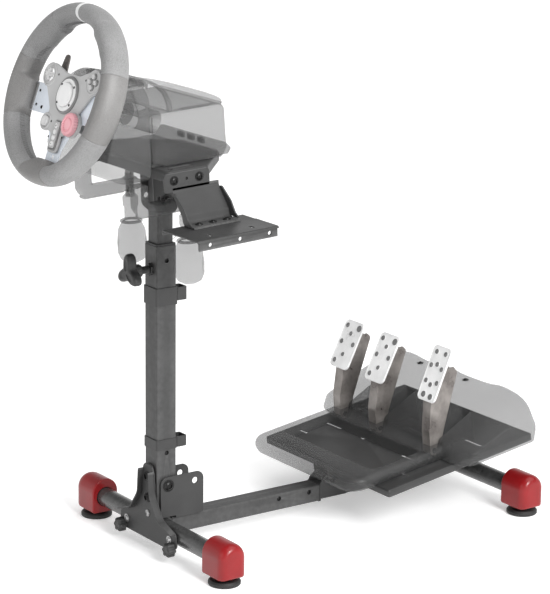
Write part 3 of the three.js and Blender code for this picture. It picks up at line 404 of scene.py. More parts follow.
# ================================================================== floor frame
FRONT_Y = 631
for nm, y, body in (("rear_cross_tube", 0, "floor_frame"), ("front_cross_tube", FRONT_Y, "front_frame")):
    t = loft([[(x, y + r * math.cos(k * pi / 36), 42 + r * math.sin(k * pi / 36)) for k in range(72)]
              for x, r in ((-205, 14), (-205, 16), (205, 16), (205, 14))], closed=True)
    piece(nm + "_paint", t, MS, body, "tubepaint", (nm,))

def cap_section(d, n=60, R0=25.0):
    """Arch-topped outline, inset by d."""
    w, z0, cz, zt = R0 - d, 14 + d * .45, 49.0, 74 - d
    lower = rounded([(-w, cz, 0), (-w, z0, 4.5), (w, z0, 4.5), (w, cz, 0)], 6)
    arch = [(w * math.cos(a), cz + (zt - cz) * math.sin(a)) for a in [pi * k / 36 for k in range(1, 36)]]
    return lower + arch

CAPS = (("rear_left", -1, 0, "floor_frame", "foot_rl"), ("rear_right", 1, 0, "floor_frame", "foot_rr"),
        ("front_left", -1, FRONT_Y, "front_frame", "foot_fl"), ("front_right", 1, FRONT_Y, "front_frame", "foot_fr"))
for nm, sx, y, body, foot in CAPS:
    prof = [(170.0, 2.2), (170.3, 1.1), (171.2, .3), (172.4, 0), (190, 0), (205, 0), (214, .1), (218, .5), (221, 1.3), (224, 2.7),
            (226.4, 4.4), (228.2, 6.6), (229.4, 9.2), (229.9, 12.5), (230, 16)]
    rings = [[(sx * x, y + p[0], p[1]) for p in cap_section(d)] for x, d in prof]
    body_s = loft(rings)
    ring = lambda x, r: [(sx * x, y + r * math.cos(k * pi / 24), 42 + r * math.sin(k * pi / 24)) for k in range(48)]
    pocket = loft([ring(160, 17.1), ring(176, 17.1)])
    foot_hole = lathe([(0, 5), (7.5, 5), (7.5, 20), (0, 20)], "z", sx * 199.5, y, n=32)
    body_s = boolean(body_s, pocket, foot_hole)
    parting = loft([ring(176.5, 15), ring(176.5, 17.05), ring(176, 17.05), ring(176, 15)], closed=True)
    collar = loft([ring(169.7, 17.2), ring(169.4, 17.9), ring(169.6, 19.2), ring(170.6, 19.8), ring(171.5, 19.2), ring(171.5, 17.2)], closed=True)
    piece("end_cap_" + nm + "_shell", [(body_s, "red"), (collar, "red")], MS, body, "red", ("end_cap_" + nm,), angle=40)
    # foot: rubber disc with a steel stem and a lock nut
    disc = lathe([(0, 0), (25.6, 0, .8), (27, 1.6, .8), (27, 5.8, 1.2), (24.2, 9.0, 1.2), (17, 9.9, .6), (15.5, 9.2, .4), (9, 9.2), (9, 10.4, .4), (0, 10.4)], "z", sx * 199.5, y, n=64)
    ribs = [lathe([(r, .05), (r + .6, -.0), (r + 1.2, .05), (r + 1.2, .4), (r, .4)], "z", sx * 199.5, y, n=48, seg=1) for r in (10, 15, 20)]
    stem = lathe([(0, 9.6), (6.0, 9.6), (6.0, 23.4), (0, 23.4)], "z", sx * 199.5, y, n=32)
    threads = [lathe([(6.0, z), (6.35, z + .4), (6.0, z + .8), (5.6, z + .8), (5.6, z)], "z", sx * 199.5, y, n=32, seg=1) for z in [10.6 + .95 * k for k in range(5)]]
    nut = lathe([(0, 10.2), (10.2, 10.2), (10.6, 10.6), (10.6, 13.0), (9.6, 13.7), (0, 13.7)], "z", sx * 199.5, y, n=6, seg=1)
    piece("foot_" + nm + "_pad", [(disc, "rubber"), (joined(stem, nut, *threads), "bolt")], MS, foot, "rubber", ("foot_" + nm,))

# ------------------------------------------------------------------ hinge bracket and beams
def sq_tube(hw, hd, cx, cy, lo, hi, axis, r, wall):
    """Square tube with rounded corners; section (a, b) centred on (cx, cy)."""
    m = axmap(axis)
    o = rrect(cx - hw, cy - hd, cx + hw, cy + hd, r, 6)
    i = rrect(cx - hw + wall, cy - hd + wall, cx + hw - wall, cy + hd - wall, max(.6, r - wall), 6)
    o2 = rrect(cx - hw + .35, cy - hd + .35, cx + hw - .35, cy + hd - .35, max(.5, r - .35), 6)
    R_ = lambda pts, t: [m(a, b, t) for a, b in pts]
    return loft([R_(i, lo), R_(o2, lo), R_(o, lo + .35), R_(o, hi - .35), R_(o2, hi), R_(i, hi)], closed=True)

def drill(axis, a, b, r, lo, hi, n=28):
    return lathe([(0, lo), (r, lo), (r, hi), (0, hi)], axis, a, b, n=n, seg=1)

def weld(path, r=1.5):
    """A weld bead: a rope with small ripples."""
    P, out = [Vector(p) for p in path], []
    L = sum((b - a).length for a, b in zip(P, P[1:]))
    n = max(8, int(L / .9))
    cum = [0]
    for a, b in zip(P, P[1:]): cum.append(cum[-1] + (b - a).length)
    rr = []
    for k in range(n + 1):
        s_ = L * k / n
        j = max(i for i in range(len(cum)) if cum[i] <= s_ + 1e-9); j = min(j, len(P) - 2)
        out.append(P[j].lerp(P[j + 1], (s_ - cum[j]) / max(1e-6, cum[j + 1] - cum[j])))
        rr.append(r * (.86 + .16 * math.sin(k * 1.55)) * (.35 if k in (0, n) else 1))
    return tube(out, rr, 8)

side = rounded([(20, 57.2, 0), (75, 57.2, 3), (75, 131, 13), (-10, 131, 13), (-10, 61, 5), (20, 61, 0)], 10)
holes = [circ(5, 116, 5.6, 32), circ(58, 116, 5.6, 32)]
hb = [(prism(side, 21.5, 24.5, "x", holes, .55, 3), "powder"), (prism(side, -24.5, -21.5, "x", holes, .55, 3), "powder"),
      (rbox(-22, 20.2, 57.2, 22, 74, 60, .6), "powder")]
hb += [(weld([(s * 18.5, 24, 56.9), (s * 18.5, 72, 56.9)], 1.7), "powder") for s in (-1, 1)]
hb += [(weld([(s * 21.3, 24, 60.2), (s * 21.3, 72, 60.2)], 1.3), "powder") for s in (-1, 1)]
piece("hinge_bracket_plates", hb, MS, "floor_frame", "powder", ("hinge_bracket",))
hw = [moved(buttonhead(8.2, 4.2, 10.5), at((24.6, 5, 116), (1, 0, 0))), moved(nyloc(8.4, 6.0), at((-24.6, 5, 116), (-1, 0, 0))),
      lathe([(0, -24.6), (5, -24.6), (5, 24.6), (0, 24.6)], "x", 5, 116, n=24)]
piece("mast_pivot_bolt_set", joined(*hw), MS, "floor_frame", "bolt", ("mast_pivot_bolt",))

bo = sq_tube(17.5, 15, 0, 41.5, 16.7, 322, "y", 3.0, 2)
bo = boolean(bo, drill("x", 236, 47, 4.3, 8, 30), drill("x", 300, 47, 4.3, 8, 30))
# saddle welded round the rear tube under the hinge
sad = []
for x in (-19.5, -18.5, 18.5, 19.5):
    r0 = 16.35; r1 = 19.6 if abs(x) < 19 else 19.0
    arc = [R(a) for a in range(-50, 131, 6)]
    sad.append([(x, r1 * math.sin(a), 42 + r1 * math.cos(a)) for a in arc] + [(x, r0 * math.sin(a), 42 + r0 * math.cos(a)) for a in reversed(arc)])
saddle = loft(sad)
seam = rbox(-.45, 60, 56.35, .45, 320, 56.62, .12, 1)
piece("beam_outer_tube", [(bo, "powder"), (saddle, "powder"), (seam, "powder")] +
      [(weld([(s * 17.9, 17.5, 28), (s * 17.9, 17.5, 55)], 1.3), "powder") for s in (-1, 1)], MS, "floor_frame", "powder", ("beam_outer",))
# dark screw heads in the beam's side holes
piece("beam_screws", joined(*[moved(buttonhead(4.0, 2.0), at((15.4, y, 47), (1, 0, 0))) for y in (236, 300)]), MS, "floor_frame", "bolt")
collar = boolean(prism(rrect(-18.6, 25.4, 18.6, 57.6, 3.5, 6), 321.6, 325.4, "y", [rrect(-15.3, 28.7, 15.3, 54.3, 2, 6)], .7, 3))
piece("beam_collar", collar, MS, "floor_frame", "blackplastic")

bi = sq_tube(15, 12.5, 0, 41.5, 232, 614.6, "y", 2.6, 2)
ear = rounded([(324, 30, 3), (384, 30, 5), (384, 56, 8), (366, 71, 8), (338, 71, 8), (324, 60, 6)], 8)
parts = [(bi, "powder")] + [(prism(ear, a, b, "x", [circ(352, 60, 4.5, 28)], .5, 2), "powder") for a, b in ((15.1, 18), (-18, -15.1))]
rest = [(592, 54.2, 0), (608, 54.2, 0), (608, 123, 1.2), (592, 120.6, 1.2)]
rest_o = prism(rounded(rest, 4), -22, 22, "x", [], .8, 2)
parts.append((boolean(rest_o, rbox(-19, 594.5, 50, 19, 605.5, 117.5, .5, 1)), "powder"))
parts += [(weld([(s * 15.4, 326, 31), (s * 15.4, 382, 31)], 1.4), "powder") for s in (-1, 1)]
parts += [(weld([(-15, 614.2, z), (15, 614.2, z)], 1.4), "powder") for z in (30, 53.5)]
parts.append((weld([(-22, 591.6, 54.6), (22, 591.6, 54.6)], 1.3), "powder"))
piece("beam_inner_tube", parts, MS, "front_frame", "powder", ("beam_inner",))
piece("tray_pivot_bolt", joined(moved(hexhead(6, 4, 8.5), at((21.9, 352, 60), (1, 0, 0))), moved(nyloc(6.2, 5.5), at((-21.9, 352, 60), (-1, 0, 0))),
      lathe([(0, -22), (4.2, -22), (4.2, 22), (0, 22)], "x", 352, 60, n=24)), MS, "front_frame", "bolt")

# ------------------------------------------------------------------ mast
mo = sq_tube(19, 19, 0, 5, 64, 525, "z", 3.2, 2)
mo = boolean(mo, drill("x", 5, 171.8, 4.1, 8, 30), drill("x", 5, 500.5, 4.1, 8, 30), drill("y", 0, 485, 7.0, -30, -5), drill("x", 5, 116, 5.4, -30, 30))
# near-black plugs inside the hollow tube behind the two side holes: painted shade of the tube's inside
mast_parts = [(mo, "powder"), (joined(drill("x", 5, 171.8, 5.2, 12, 15.5), drill("x", 5, 500.5, 5.2, 12, 15.5)), "hole")]
piece("mast_outer_tube", mast_parts, MS, "mast", "powder", ("mast_outer",))
bush = boolean(prism(rrect(-18.6, -13.6, 18.6, 23.6, 3.0, 6), 525.3, 528.4, "z", [rrect(-15.3, -10.3, 15.3, 20.3, 2.2, 6)], .7, 3))
sleeve = prism(rrect(-16.6, -11.6, 16.6, 21.6, 1.5, 4), 502, 526, "z", [rrect(-15.3, -10.3, 15.3, 20.3, 1.2, 4)], .2, 1)
piece("telescope_bushing_ring", joined(bush, sleeve), MS, "mast", "blackplastic", ("telescope_bushing",))
mi = sq_tube(15, 15, 0, 5, 330, 640, "z", 2.6, 2)
mi = boolean(mi, drill("x", 5, 600, 5.4, -30, 30))
piece("mast_inner_tube", mi, MS, "mast_top", "powder", ("mast_inner",))
piece("tilt_bolt_set", joined(moved(hexhead(8.0, 5, 11), at((20.4, 5, 600), (1, 0, 0))), moved(nyloc(8.2, 6), at((-20.4, 5, 600), (-1, 0, 0))),
      lathe([(0, -20.5), (5, -20.5), (5, 20.5), (0, 20.5)], "x", 5, 600, n=24)), MS, "mast_top", "bolt", ("tilt_bolt",))

# height knob: three lobes, soft edges, a sunk centre and a threaded stem
kn = []
for k in range(108):
    a = k * pi / 54 + pi / 2
    rr = 21.2 + 8.6 * math.cos(3 * (a - pi / 2)) + 1.0 * math.cos(6 * (a - pi / 2))
    kn.append((rr * math.cos(a), 485 + rr * math.sin(a)))
def ring_of(pts, c, t, d, axis="y"):
    """Ring inset towards centre c by a distance d."""
    out = []
    for a, b in pts:
        v = Vector((a - c[0], b - c[1])); l = v.length
        v *= max(.05, (l - d) / l)
        out.append(axmap(axis)(c[0] + v.x, c[1] + v.y, t))
    return out
c0 = (0, 485)
knob = loft([ring_of(kn, c0, t, d) for t, d in ((-45.9, 9), (-46.1, 5), (-46.9, 2.2), (-48.4, .6), (-50.5, 0), (-57, 0), (-59.2, .8), (-60.7, 2.2), (-61.7, 4.4), (-62, 7), (-61.9, 9.5), (-60.9, 11.2), (-60.6, 14.5))])
hubk = lathe([(0, -34), (9.5, -34, .8), (11, -36.5, 1), (11, -47), (0, -47)], "y", 0, 485, n=40)
stem = lathe([(0, -10.6), (5.2, -10.6), (6, -11.4), (6, -35), (0, -35)], "y", 0, 485, n=28, seg=1)
thr = [lathe([(5.9, t), (6.35, t - .5), (5.9, t - 1), (5.5, t - 1), (5.5, t)], "y", 0, 485, n=28, seg=1) for t in [-15 - 1.3 * k for k in range(13)]]
ins = lathe([(0, -60.9), (4.2, -60.9, .3), (4.2, -60.2), (0, -60.2)], "y", 0, 485, n=6, seg=1)
piece("height_knob_grip", [(joined(knob, hubk), "blackplastic"), (joined(stem, *thr, ins), "bolt")], MS, "knob", "blackplastic", ("height_knob",), angle=38)
# threaded boss on the mast that takes the knob's stem
piece("knob_boss", prism(circ(0, 485, 10.5, 6, pi / 6), -19.1, -14.2, "y", [circ(0, 485, 6.7, 28)], .4, 2), MS, "mast", "bolt")

for nm, z0, z1, h0, h1, w in (("lower", 178, 196, 178, 196, 1.3), ("upper", 425, 455, 430, 452, 1.6)):
    o, i = 19.3 + w, 19.3
    band = prism(rrect(-o, 5 - o, o, 5 + o, 3.8, 6), z0, z1, "z", [rrect(-i, 5 - i, i, 5 + i, 2.4, 6)], .45, 2)
    hook = prism(rrect(-6, 5 + o - .5, 18, 46, 4, 6), h0, h1, "z", [rrect(-3.5, 5 + o + 2, 15.5, 43.5, 2.6, 6)], .5, 2)
    ribs = [rbox(x - .5, 45.4, h0 + 2, x + .5, 46.5, h1 - 2, .4, 2) for x in (-1, 3, 7, 11)]
    piece("cable_clip_" + nm + "_band", [(joined(band, hook, *ribs), "blackplastic")], MS, "mast", "blackplastic", ("cable_clip_" + nm,))

# ------------------------------------------------------------------ gusset
half = [(12, 152, 9), (17, 138, 6), (20, 100, 22), (44, 66, 26), (84, 52, 10), (88, 30, 8), (74, 20, 8)]
gp = rounded(half + [(-a, b, r) for a, b, r in reversed(half)], 10)
ghole = [circ(0, 130.4, 4.3, 28), circ(0, 93.3, 4.3, 28), circ(66, 38, 4.3, 28), circ(-66, 38, 4.3, 28)]
gs = [prism(gp, -20.6, -17.2, "y", ghole, .6, 3)]
def strip(path, thick):
    """Outline of a bent strip of that thickness, to its left."""
    n = len(path)
    nrm = []
    for i in range(n):
        d = Vector(path[min(i + 1, n - 1)]) - Vector(path[max(i - 1, 0)]); d.normalize()
        nrm.append(Vector((-d.y, d.x)))
    return list(path) + [(p[0] + q.x * thick, p[1] + q.y * thick) for p, q in zip(reversed(path), reversed(nrm))]
fp = rounded([(16.2, 142, 0), (17, 138, 6), (20, 100, 22), (44, 66, 26), (82, 53.4, 0)], 12)
for s in (1, -1):
    st = [(s * a, b) for a, b in strip([p for p in fp], -2.6)]
    gs.append(prism(st, -30, -18.6, "y", [], .6, 2))
gs += [rbox(-15, -18, z0, 15, -14.35, z1, .5, 2) for z0, z1 in ((72, 86), (108, 120))]
piece("gusset_plate_pressing", joined(*gs), MS, "mast", "powder", ("gusset_plate",))
gb = [moved(buttonhead(7.4, 3.8, 8.6), at((0, -20.7, z), (0, -1, 0), .3)) for z in (130.4, 93.3)]
piece("gusset_bolts", joined(*gb), MS, "mast", "bolt")
gb = [moved(buttonhead(5.2, 2.6, 7.2), at((x, -20.7, 38), (0, -1, 0), .3)) for x in (66, -66)] + [moved(buttonhead(4.6, 2.2, 5.8), at((0, -20.7, 66), (0, -1, 0)))]
piece("gusset_screws", joined(*gb), MS, "mast", "zinc")
# clamp nuts that pull the gusset's corners onto the cross tube
for s, nm in ((-1, "left"), (1, "right")):
    out = []
    for k in range(64):
        a = k * pi / 32
        rr = 11.0 + 1.3 * math.cos(6 * a)
        out.append((s * 76 + rr * math.cos(a), 25 + rr * math.sin(a)))
    c1 = (s * 76, 25)
    kk = loft([ring_of(out, c1, t, d) for t, d in ((-20.8, 0), (-31.5, 0), (-33.5, .8), (-34.8, 2.4), (-35.2, 4.5), (-34.6, 6), (-34.4, 8.5))])
    piece("gusset_nut_" + nm, kk, MS, "mast", "blackplastic", angle=40)

# ================================================================== wheel plate, bracket, shelf (plate frame)
WZ = 678.3
ear = rounded([(-20, WZ - 6.9, 0), (-20, 592, 14), (-6, 578, 12), (20, 578, 14), (30, 596, 12), (30, WZ - 6.9, 0)], 10)
eh = [circ(5, 600, 5.5, 32), circ(-11, 606, 4.5, 28)]
tb = [prism(ear, 17, 20, "x", eh, .55, 2), prism(ear, -20, -17, "x", eh, .55, 2), rbox(-20, -34, WZ - 7, 20, 44, WZ - 2.9, .7)]
tb += [weld([(s * 20.4, -17, WZ - 7.4), (s * 20.4, 28, WZ - 7.4)], 1.2) for s in (-1, 1)]
piece("tilt_bracket_ears", joined(*tb), ML, "wheel_mount", "dark", ("tilt_bracket",))

def inset_ring(pts, d, seg):
    """Rounded convex outline inset by d; pts are (x, y, radius), counter-clockwise."""
    n, out = len(pts), []
    for i in range(n):
        a, p, b = (Vector(q[:2]) for q in (pts[i - 1], pts[i], pts[(i + 1) % n]))
        u, v = (p - a).normalized(), (b - p).normalized()
        nu, nv = Vector((-u.y, u.x)), Vector((-v.y, v.x))
        m = (nu + nv).normalized()
        q = p + m * (d / max(.3, m.dot(nu)))
        out.append((q.x, q.y, max(.8, pts[i][2] - d)))
    return rounded(out, seg)

def folded(pts, ztop, depth, t, rad, seg=8):
    """A pressed tray: flat top, rounded fold, skirt, open underneath."""
    rings = []
    add = lambda d, z: rings.append([(x, y, z) for x, y in inset_ring(pts, d, seg)])
    add(40, ztop); add(rad + 3, ztop)
    for k in range(7):
        a = k * pi / 12
        add(rad - rad * math.sin(a), ztop - rad + rad * math.cos(a))
    zb = ztop - depth
    add(0, zb + .5); add(.4, zb + .1); add(t / 2, zb); add(t - .4, zb + .1); add(t, zb + .5)
    ri = max(.8, rad - t)
    for k in range(7):
        a = pi / 2 - k * pi / 12
        add(t + ri - ri * math.sin(a), ztop - t - ri + ri * math.cos(a))
    add(t + ri + 3, ztop - t); add(40, ztop - t)
    return loft(rings)

wp = [(-134, -65, 9), (134, -65, 9), (134, 11.5, 12), (54, 86.8, 12), (-54, 86.8, 12), (-134, 11.5, 12)]
plate = folded(wp, WZ, 17, 2.5, 4.2)
plate = boolean(plate, *[drill("z", x, y, 3.5, 660, 690) for x, y in ((-70, -20), (70, -20), (0, 50), (118, -48), (-118, -48))])
tabs = []
for s in (-1, 1):
    x0, x1 = (131.5, 134) if s > 0 else (-134, -131.5)
    tabs.append(prism(rounded([(-59, 645.3, 6), (10, 645.3, 6), (10, 668, 0), (-59, 668, 0)], 8), x0, x1, "x", [circ(-54.6, 664, 3.4, 24), circ(-7.4, 664, 3.4, 24)] if s < 0 else [circ(-31, 664, 2.4, 24)], .4, 2))
# pressed stiffening steps in the top, beside the wheel base
step = [prism(rrect(s * 119 - 8, -52, s * 119 + 8, -4, 7, 8), WZ - .5, WZ + .55, "z", [rrect(s * 119 - 6.2, -50.2, s * 119 + 6.2, -5.8, 5.4, 8)], .45, 3) for s in (-1, 1)]
piece("wheel_plate_pressing", joined(plate, *tabs, *step), ML, "wheel_mount", "dark", ("wheel_plate",))

x0, t = 134.3, 3.0
bt = [moved(joined(lathe([(0, 0), (7.6, 0), (7.6, 1.1, .3), (0, 1.1)], n=36), moved(buttonhead(6.2, 3.2), Matrix.Translation((0, 0, 1.0)))), at((x0 + t, y, 664), (1, 0, 0))) for y in (-54.6, -7.4)]
piece("shifter_arm_bolts", joined(*bt), ML, "wheel_mount", "bolt")
bt = [moved(nyloc(5.6, 5), at((131.3, y, 664), (-1, 0, 0))) for y in (-54.6, -7.4)]
bt += [moved(buttonhead(5.4, 2.8, 7), at((-134.1, y, 664), (-1, 0, 0))) for y in (-54.6, -7.4)]
piece("plate_side_fasteners", joined(*bt), ML, "wheel_mount", "bolt")

JS = .8
sp = prism(rrect(-73, 645, 12, 676, 7, 8), x0, x0 + t, "x", [circ(-31, 664, 2.6, 24)], .5, 3)
zf = 597 - JS
prof = rounded([(x0, 652, 0), (x0 + t, 652, 0), (x0 + t, 646, 7), (164.5, 612.5, 10), (168, zf + 3.4, 7), (196, zf + 3.4, 0), (196, zf + .4, 0), (165, zf + .4, 9), (161, 611.5, 11), (x0, 645, 7)], 10)
ramp = prism(prof, -58, 29, "y", [], .5, 2)
lip = rounded([(139, 644, 2), (150, 630, 10), (164.5, 612.5, 6), (168, 600.5, 2), (192, 600.2, 1), (181, 607.5, 10), (170, 625, 16), (146, 644, 5)], 8)
lips = [prism(lip, a, b, "y", [], .5, 2) for a, b in ((-59.5, -56.8), (27.8, 30.5))]
piece("shifter_arm_pressing", joined(sp, ramp, *lips), ML, "wheel_mount", "dark", ("shifter_arm",))

# shelf: one pressed sheet with a drilled lip on its outer edge
def sheet_profile(path, thick):
    """Outline of a folded sheet whose outer face follows path."""
    return strip(path, thick)
outer = rounded([(160.3, 588.0, 0), (160.3, zf, 2.6), (198.5, zf, .6), (199.6, 597, .6), (262, 597, 3.2), (262, 581, 0)], 8)
prof = strip(outer, -2.5)
sh = prism(prof, -95, 56, "y", [], .5, 2)
cut = []
for y in (-58, 20):
    cut.append(prism(rrect(232, y - 3, 246, y + 3, 2.9, 8), 585, 605, "z", [], .01, 1))
for y in (-72, -17, 38):
    cut.append(drill("x", y, 588.5, 3.3, 250, 275))
cut += [prism([(255, -96), (263, -96), (263, -91)], 575, 593.5, "z", [], .01, 1), prism([(255, 57), (263, 57), (263, 52)], 575, 593.5, "z", [], .01, 1)]
sh = boolean(sh, *cut)
piece("shifter_shelf_sheet", sh, ML, "wheel_mount", "dark", ("shifter_plate",))
fr = [moved(buttonhead(4.8, 2.2, 6.4), at((x, y, zf + 3.3), (0, 0, 1))) for x in (182,) for y in (-40, -14, 12)]
piece("shifter_foot_screws", joined(*fr), ML, "wheel_mount", "bolt")

# ================================================================== wheel base (plate frame)
AX = TILT + PR
OY = 5 + (-180 - 5) * math.cos(PR) + (790 - 600) * math.sin(PR)
OZ = 600 - (-180 - 5) * math.sin(PR) + (790 - 600) * math.cos(PR)
def on_axis(yw, zw):
    return OY + yw * math.cos(AX) + zw * math.sin(AX), OZ - yw * math.sin(AX) + zw * math.cos(AX)
MX = ML @ Matrix.Translation((0, OY, OZ)) @ Matrix.Rotation(-AX, 4, "X")      # steering axis frame

CROWN = [(-160, 833), (-94.4, 825.3), (-67.8, 817), (-32.3, 805.3), (-4.6, 797), (26, 788.5), (50, 781.5), (62, 777.5), (72, 773), (100, 760)]
def crown(y):
    for a, b in zip(CROWN, CROWN[1:]):
        if a[0] <= y <= b[0]:
            k = (y - a[0]) / (b[0] - a[0])
            return a[1] + (b[1] - a[1]) * k
    return CROWN[-1][1] if y > 100 else CROWN[0][1]
def scrown(y):
    return sum(crown(y + d) * w for d, w in ((-12, .2), (-6, .2), (0, .2), (6, .2), (12, .2)))

def arch(y, zt, zb, hw=104.0, d=0.0, n=15):
    """Cross-section of the hood: flat crown easing into shoulders and near-upright flanks."""
    zt -= d; hw -= d
    B = min(764.0, zt - 9)
    H = zt - B
    q = min(1.0, H / 30)
    ctrl = [(hw, zb), (hw, B + H * .1), (hw - 1.2 * q, B + H * .28), (hw - 6 * q, B + H * .5), (hw - 17 * q, B + H * .74), (hw - 17 * q - 21, B + H * .91), (hw - 17 * q - 47, B + H * .985), (0, zt)]
    # Catmull-Rom through the control points
    P = [Vector(p) for p in ctrl]
    out = [P[0]]
    for i in range(len(P) - 1):
        p0, p1, p2 = P[max(i - 1, 0)], P[i], P[i + 1]
        p3 = P[i + 2] if i + 2 < len(P) else Vector((-P[i][0], P[i][1]))
        for k in range(1, 5):
            u = k / 4
            out.append(.5 * ((2 * p1) + (p2 - p0) * u + (2 * p0 - 5 * p1 + 4 * p2 - p3) * u * u + (3 * p1 - p0 - 3 * p2 + p3) * u ** 3))
    half = [(p.x, p.y) for p in out]
    full = half + [(-a, b) for a, b in reversed(half[:-1])]
    return [(a, y, b) for a, b in full]

ys = [-93.5, -92, -88, -80, -70, -60, -50, -40, -30, -20, -10, 0, 10, 20, 30, 40, 48, 52, 56, 59.5, 62.5, 65, 67, 68.8, 70.2, 71.2, 71.8]
rings = []
for y in ys:
    shrink = 104 - (22 - math.sqrt(max(0, 22 ** 2 - (y - 50) ** 2)) if y > 50 else 0)   # rounded rear corners
    drop = 7.5 * (1 - math.sqrt(max(0, 1 - ((y - 63.5) / 8.4) ** 2))) if y > 63.5 else 0
    rings.append(arch(y, scrown(y) - drop, 764.9, hw=shrink))
hood = loft(rings)
cuts = []
# a groove across the hood behind the front section, and rows of cooling slots
for k in range(6):
    y = -84 + k * 6.6
    for s in (-1, 1):
        cuts.append(moved(prism(rrect(-14, -1.3, 14, 1.3, 1.2, 4), -6, 6, "z", [], .01, 1), Matrix.Translation((s * 52, y, scrown(y) - 3.4)) @ Matrix.Rotation(s * R(18), 4, "Y")))
hood = boolean(hood, *cuts)
hood_parts = [(hood, "shell")]
def band(y0, y1, d, mat, zb=765.2, n=3):
    """A raised or sunk band over the hood."""
    rr = []
    for y, e in ((y0, -.6), (y0 + .7, d), (y1 - .7, d), (y1, -.6)):
        rr.append(arch(y, scrown(y) + e, zb, hw=104 + e))
    for y, e in ((y1, -3), (y0, -3)):
        rr.append(arch(y, scrown(y) + e, zb, hw=104 + e))
    return loft(rr, closed=True)
hood_parts.append((band(-40, -31, 1.1, "shell"), "shell"))
piece("base_hood_shell", hood_parts, ML, "wheel_mount", "shell", ("base_upper_cover",), angle=40)
# shoulder ledge along each flank of the hood
led = []
for s in (-1, 1):
    path = [(s * 104.1, y, 767.5) for y in range(-28, 50, 4)]
    led.append(tube(path, [1.1 + .9 * math.sin(pi * k / (len(path) - 1)) for k in range(len(path))], 12))
piece("base_hood_ledge", joined(*led), ML, "wheel_mount", "shell2", angle=60)

# front housing: faces the driver square to the steering axis, with a chin over the plate's edge
ya, za = on_axis(58, 50); yb, zb = on_axis(58, -77)
side = rounded([(ya, za, 3), (yb, zb, 20), (yb + 3, 672, 16), (-114, 656, 12), (-68, 655.5, 4), (-66.3, 764, 0), (-66.3, 816, 2)], 8)
fh = prism(side, -94, 94, "x", [], 1.9, 4)
hull_arch = loft([arch(y, scrown(max(y, -130)) + 0, 640, hw=97) for y in (-170, -150, -130, -110, -90, -70, -50)])
front_cut = prism(rounded([(-94.2, 655, 22), (94.2, 655, 22), (94.2, 850, 0), (-94.2, 850, 0)], 8), -180, -50, "y", [], .01, 1)
fh = boolean(boolean(fh, hull_arch, op="INTERSECT"), front_cut, op="INTERSECT")
fh = boolean(fh, moved(drill("y", 0, 0, 15, 40, 90), Matrix.Translation((0, OY, OZ)) @ Matrix.Rotation(-AX, 4, "X")))
piece("base_front_shell", fh, ML, "wheel_mount", "shell", ("base_front_housing",), angle=30)
col = [lathe([(15.2, 58.6), (30, 55.4, 1), (47, 55.0, 1.5), (51.5, 56.6, 1.2), (52, 59.5), (15.2, 59.5)], "y", n=72),
       lathe([(33.5, 54.9), (35, 54.3, .5), (37.5, 54.3, .5), (39, 54.9), (36, 56.5)], "y", n=72, seg=3)]
piece("base_front_collar", joined(*col), MX, "wheel_mount", "hubdark", angle=30)
scr = [moved(buttonhead(2.6, 1.0), at((43.5 * math.cos(a), 54.7, 43.5 * math.sin(a)), (0, -1, 0))) for a in [pi / 4 + k * pi / 2 for k in range(4)]]
piece("base_collar_screws", joined(*scr), MX, "wheel_mount", "bolt")
# thin parting bead between the front housing and the lower housing
piece("base_parting_bead", joined(*[tube([(s * 98.2, -66.2, z) for z in range(682, 764, 6)], .9, 8) for s in (-1, 1)]), ML, "wheel_mount", "shell3")

side = rounded([(-65.9, WZ + .3, 2), (66, WZ + .3, 5), (74.5, 692, 8), (73, 716, 8), (71.5, 763.6, 9), (-65.9, 763.6, 4)], 8)
lh = []
for x, d in ((-100, 9), (-99.7, 6.2), (-98.6, 3.6), (-96.6, 1.7), (-94, .5), (-91, 0), (91, 0), (94, .5), (96.6, 1.7), (98.6, 3.6), (99.7, 6.2), (100, 9)):
    c = Vector((3, 721))
    lh.append([(x, p[0] + (0 if d == 0 else (c.x - p[0]) / (c - Vector(p)).length * d * .9), p[1] + (0 if d == 0 else (c.y - p[1]) / (c - Vector(p)).length * d * .9)) for p in side])
lower = loft(lh)
# front skirt that flares over the plate's front edge
sk = rounded([(50, 679, 0), (79, 679, 3), (86, 688, 4), (75, 699, 6), (60, 700, 0)], 6)
skirt = prism(sk, -92, 92, "x", [], 2.2, 3)
foot_l = prism(rounded([(-50, 679, 0), (60, 679, 0), (60, 683, 2), (-50, 683, 2)], 4), -101.6, 101.6, "x", [], .8, 2)
piece("base_lower_shell", [(lower, "shell2"), (skirt, "shell3"), (foot_l, "shell3")], ML, "wheel_mount", "shell2", ("base_lower_housing",), angle=40)
# two cable sockets at the back of the base
so = [prism(rrect(x - 9, 686, x + 9, 696, 2, 5), 73, 76.6, "y", [rrect(x - 7.2, 687.8, x + 7.2, 694.2, 1.2, 5)], .4, 2) for x in (-40, -10, 20)]
# a near-black block at the back of each socket opening: painted shade in the recess
piece("base_sockets", [(joined(*so), "hubdark"), (joined(*[rbox(x - 7.2, 72, 687.8, x + 7.2, 74.2, 694.2, .3) for x in (-40, -10, 20)]), "hole")], ML, "wheel_mount", "hubdark")

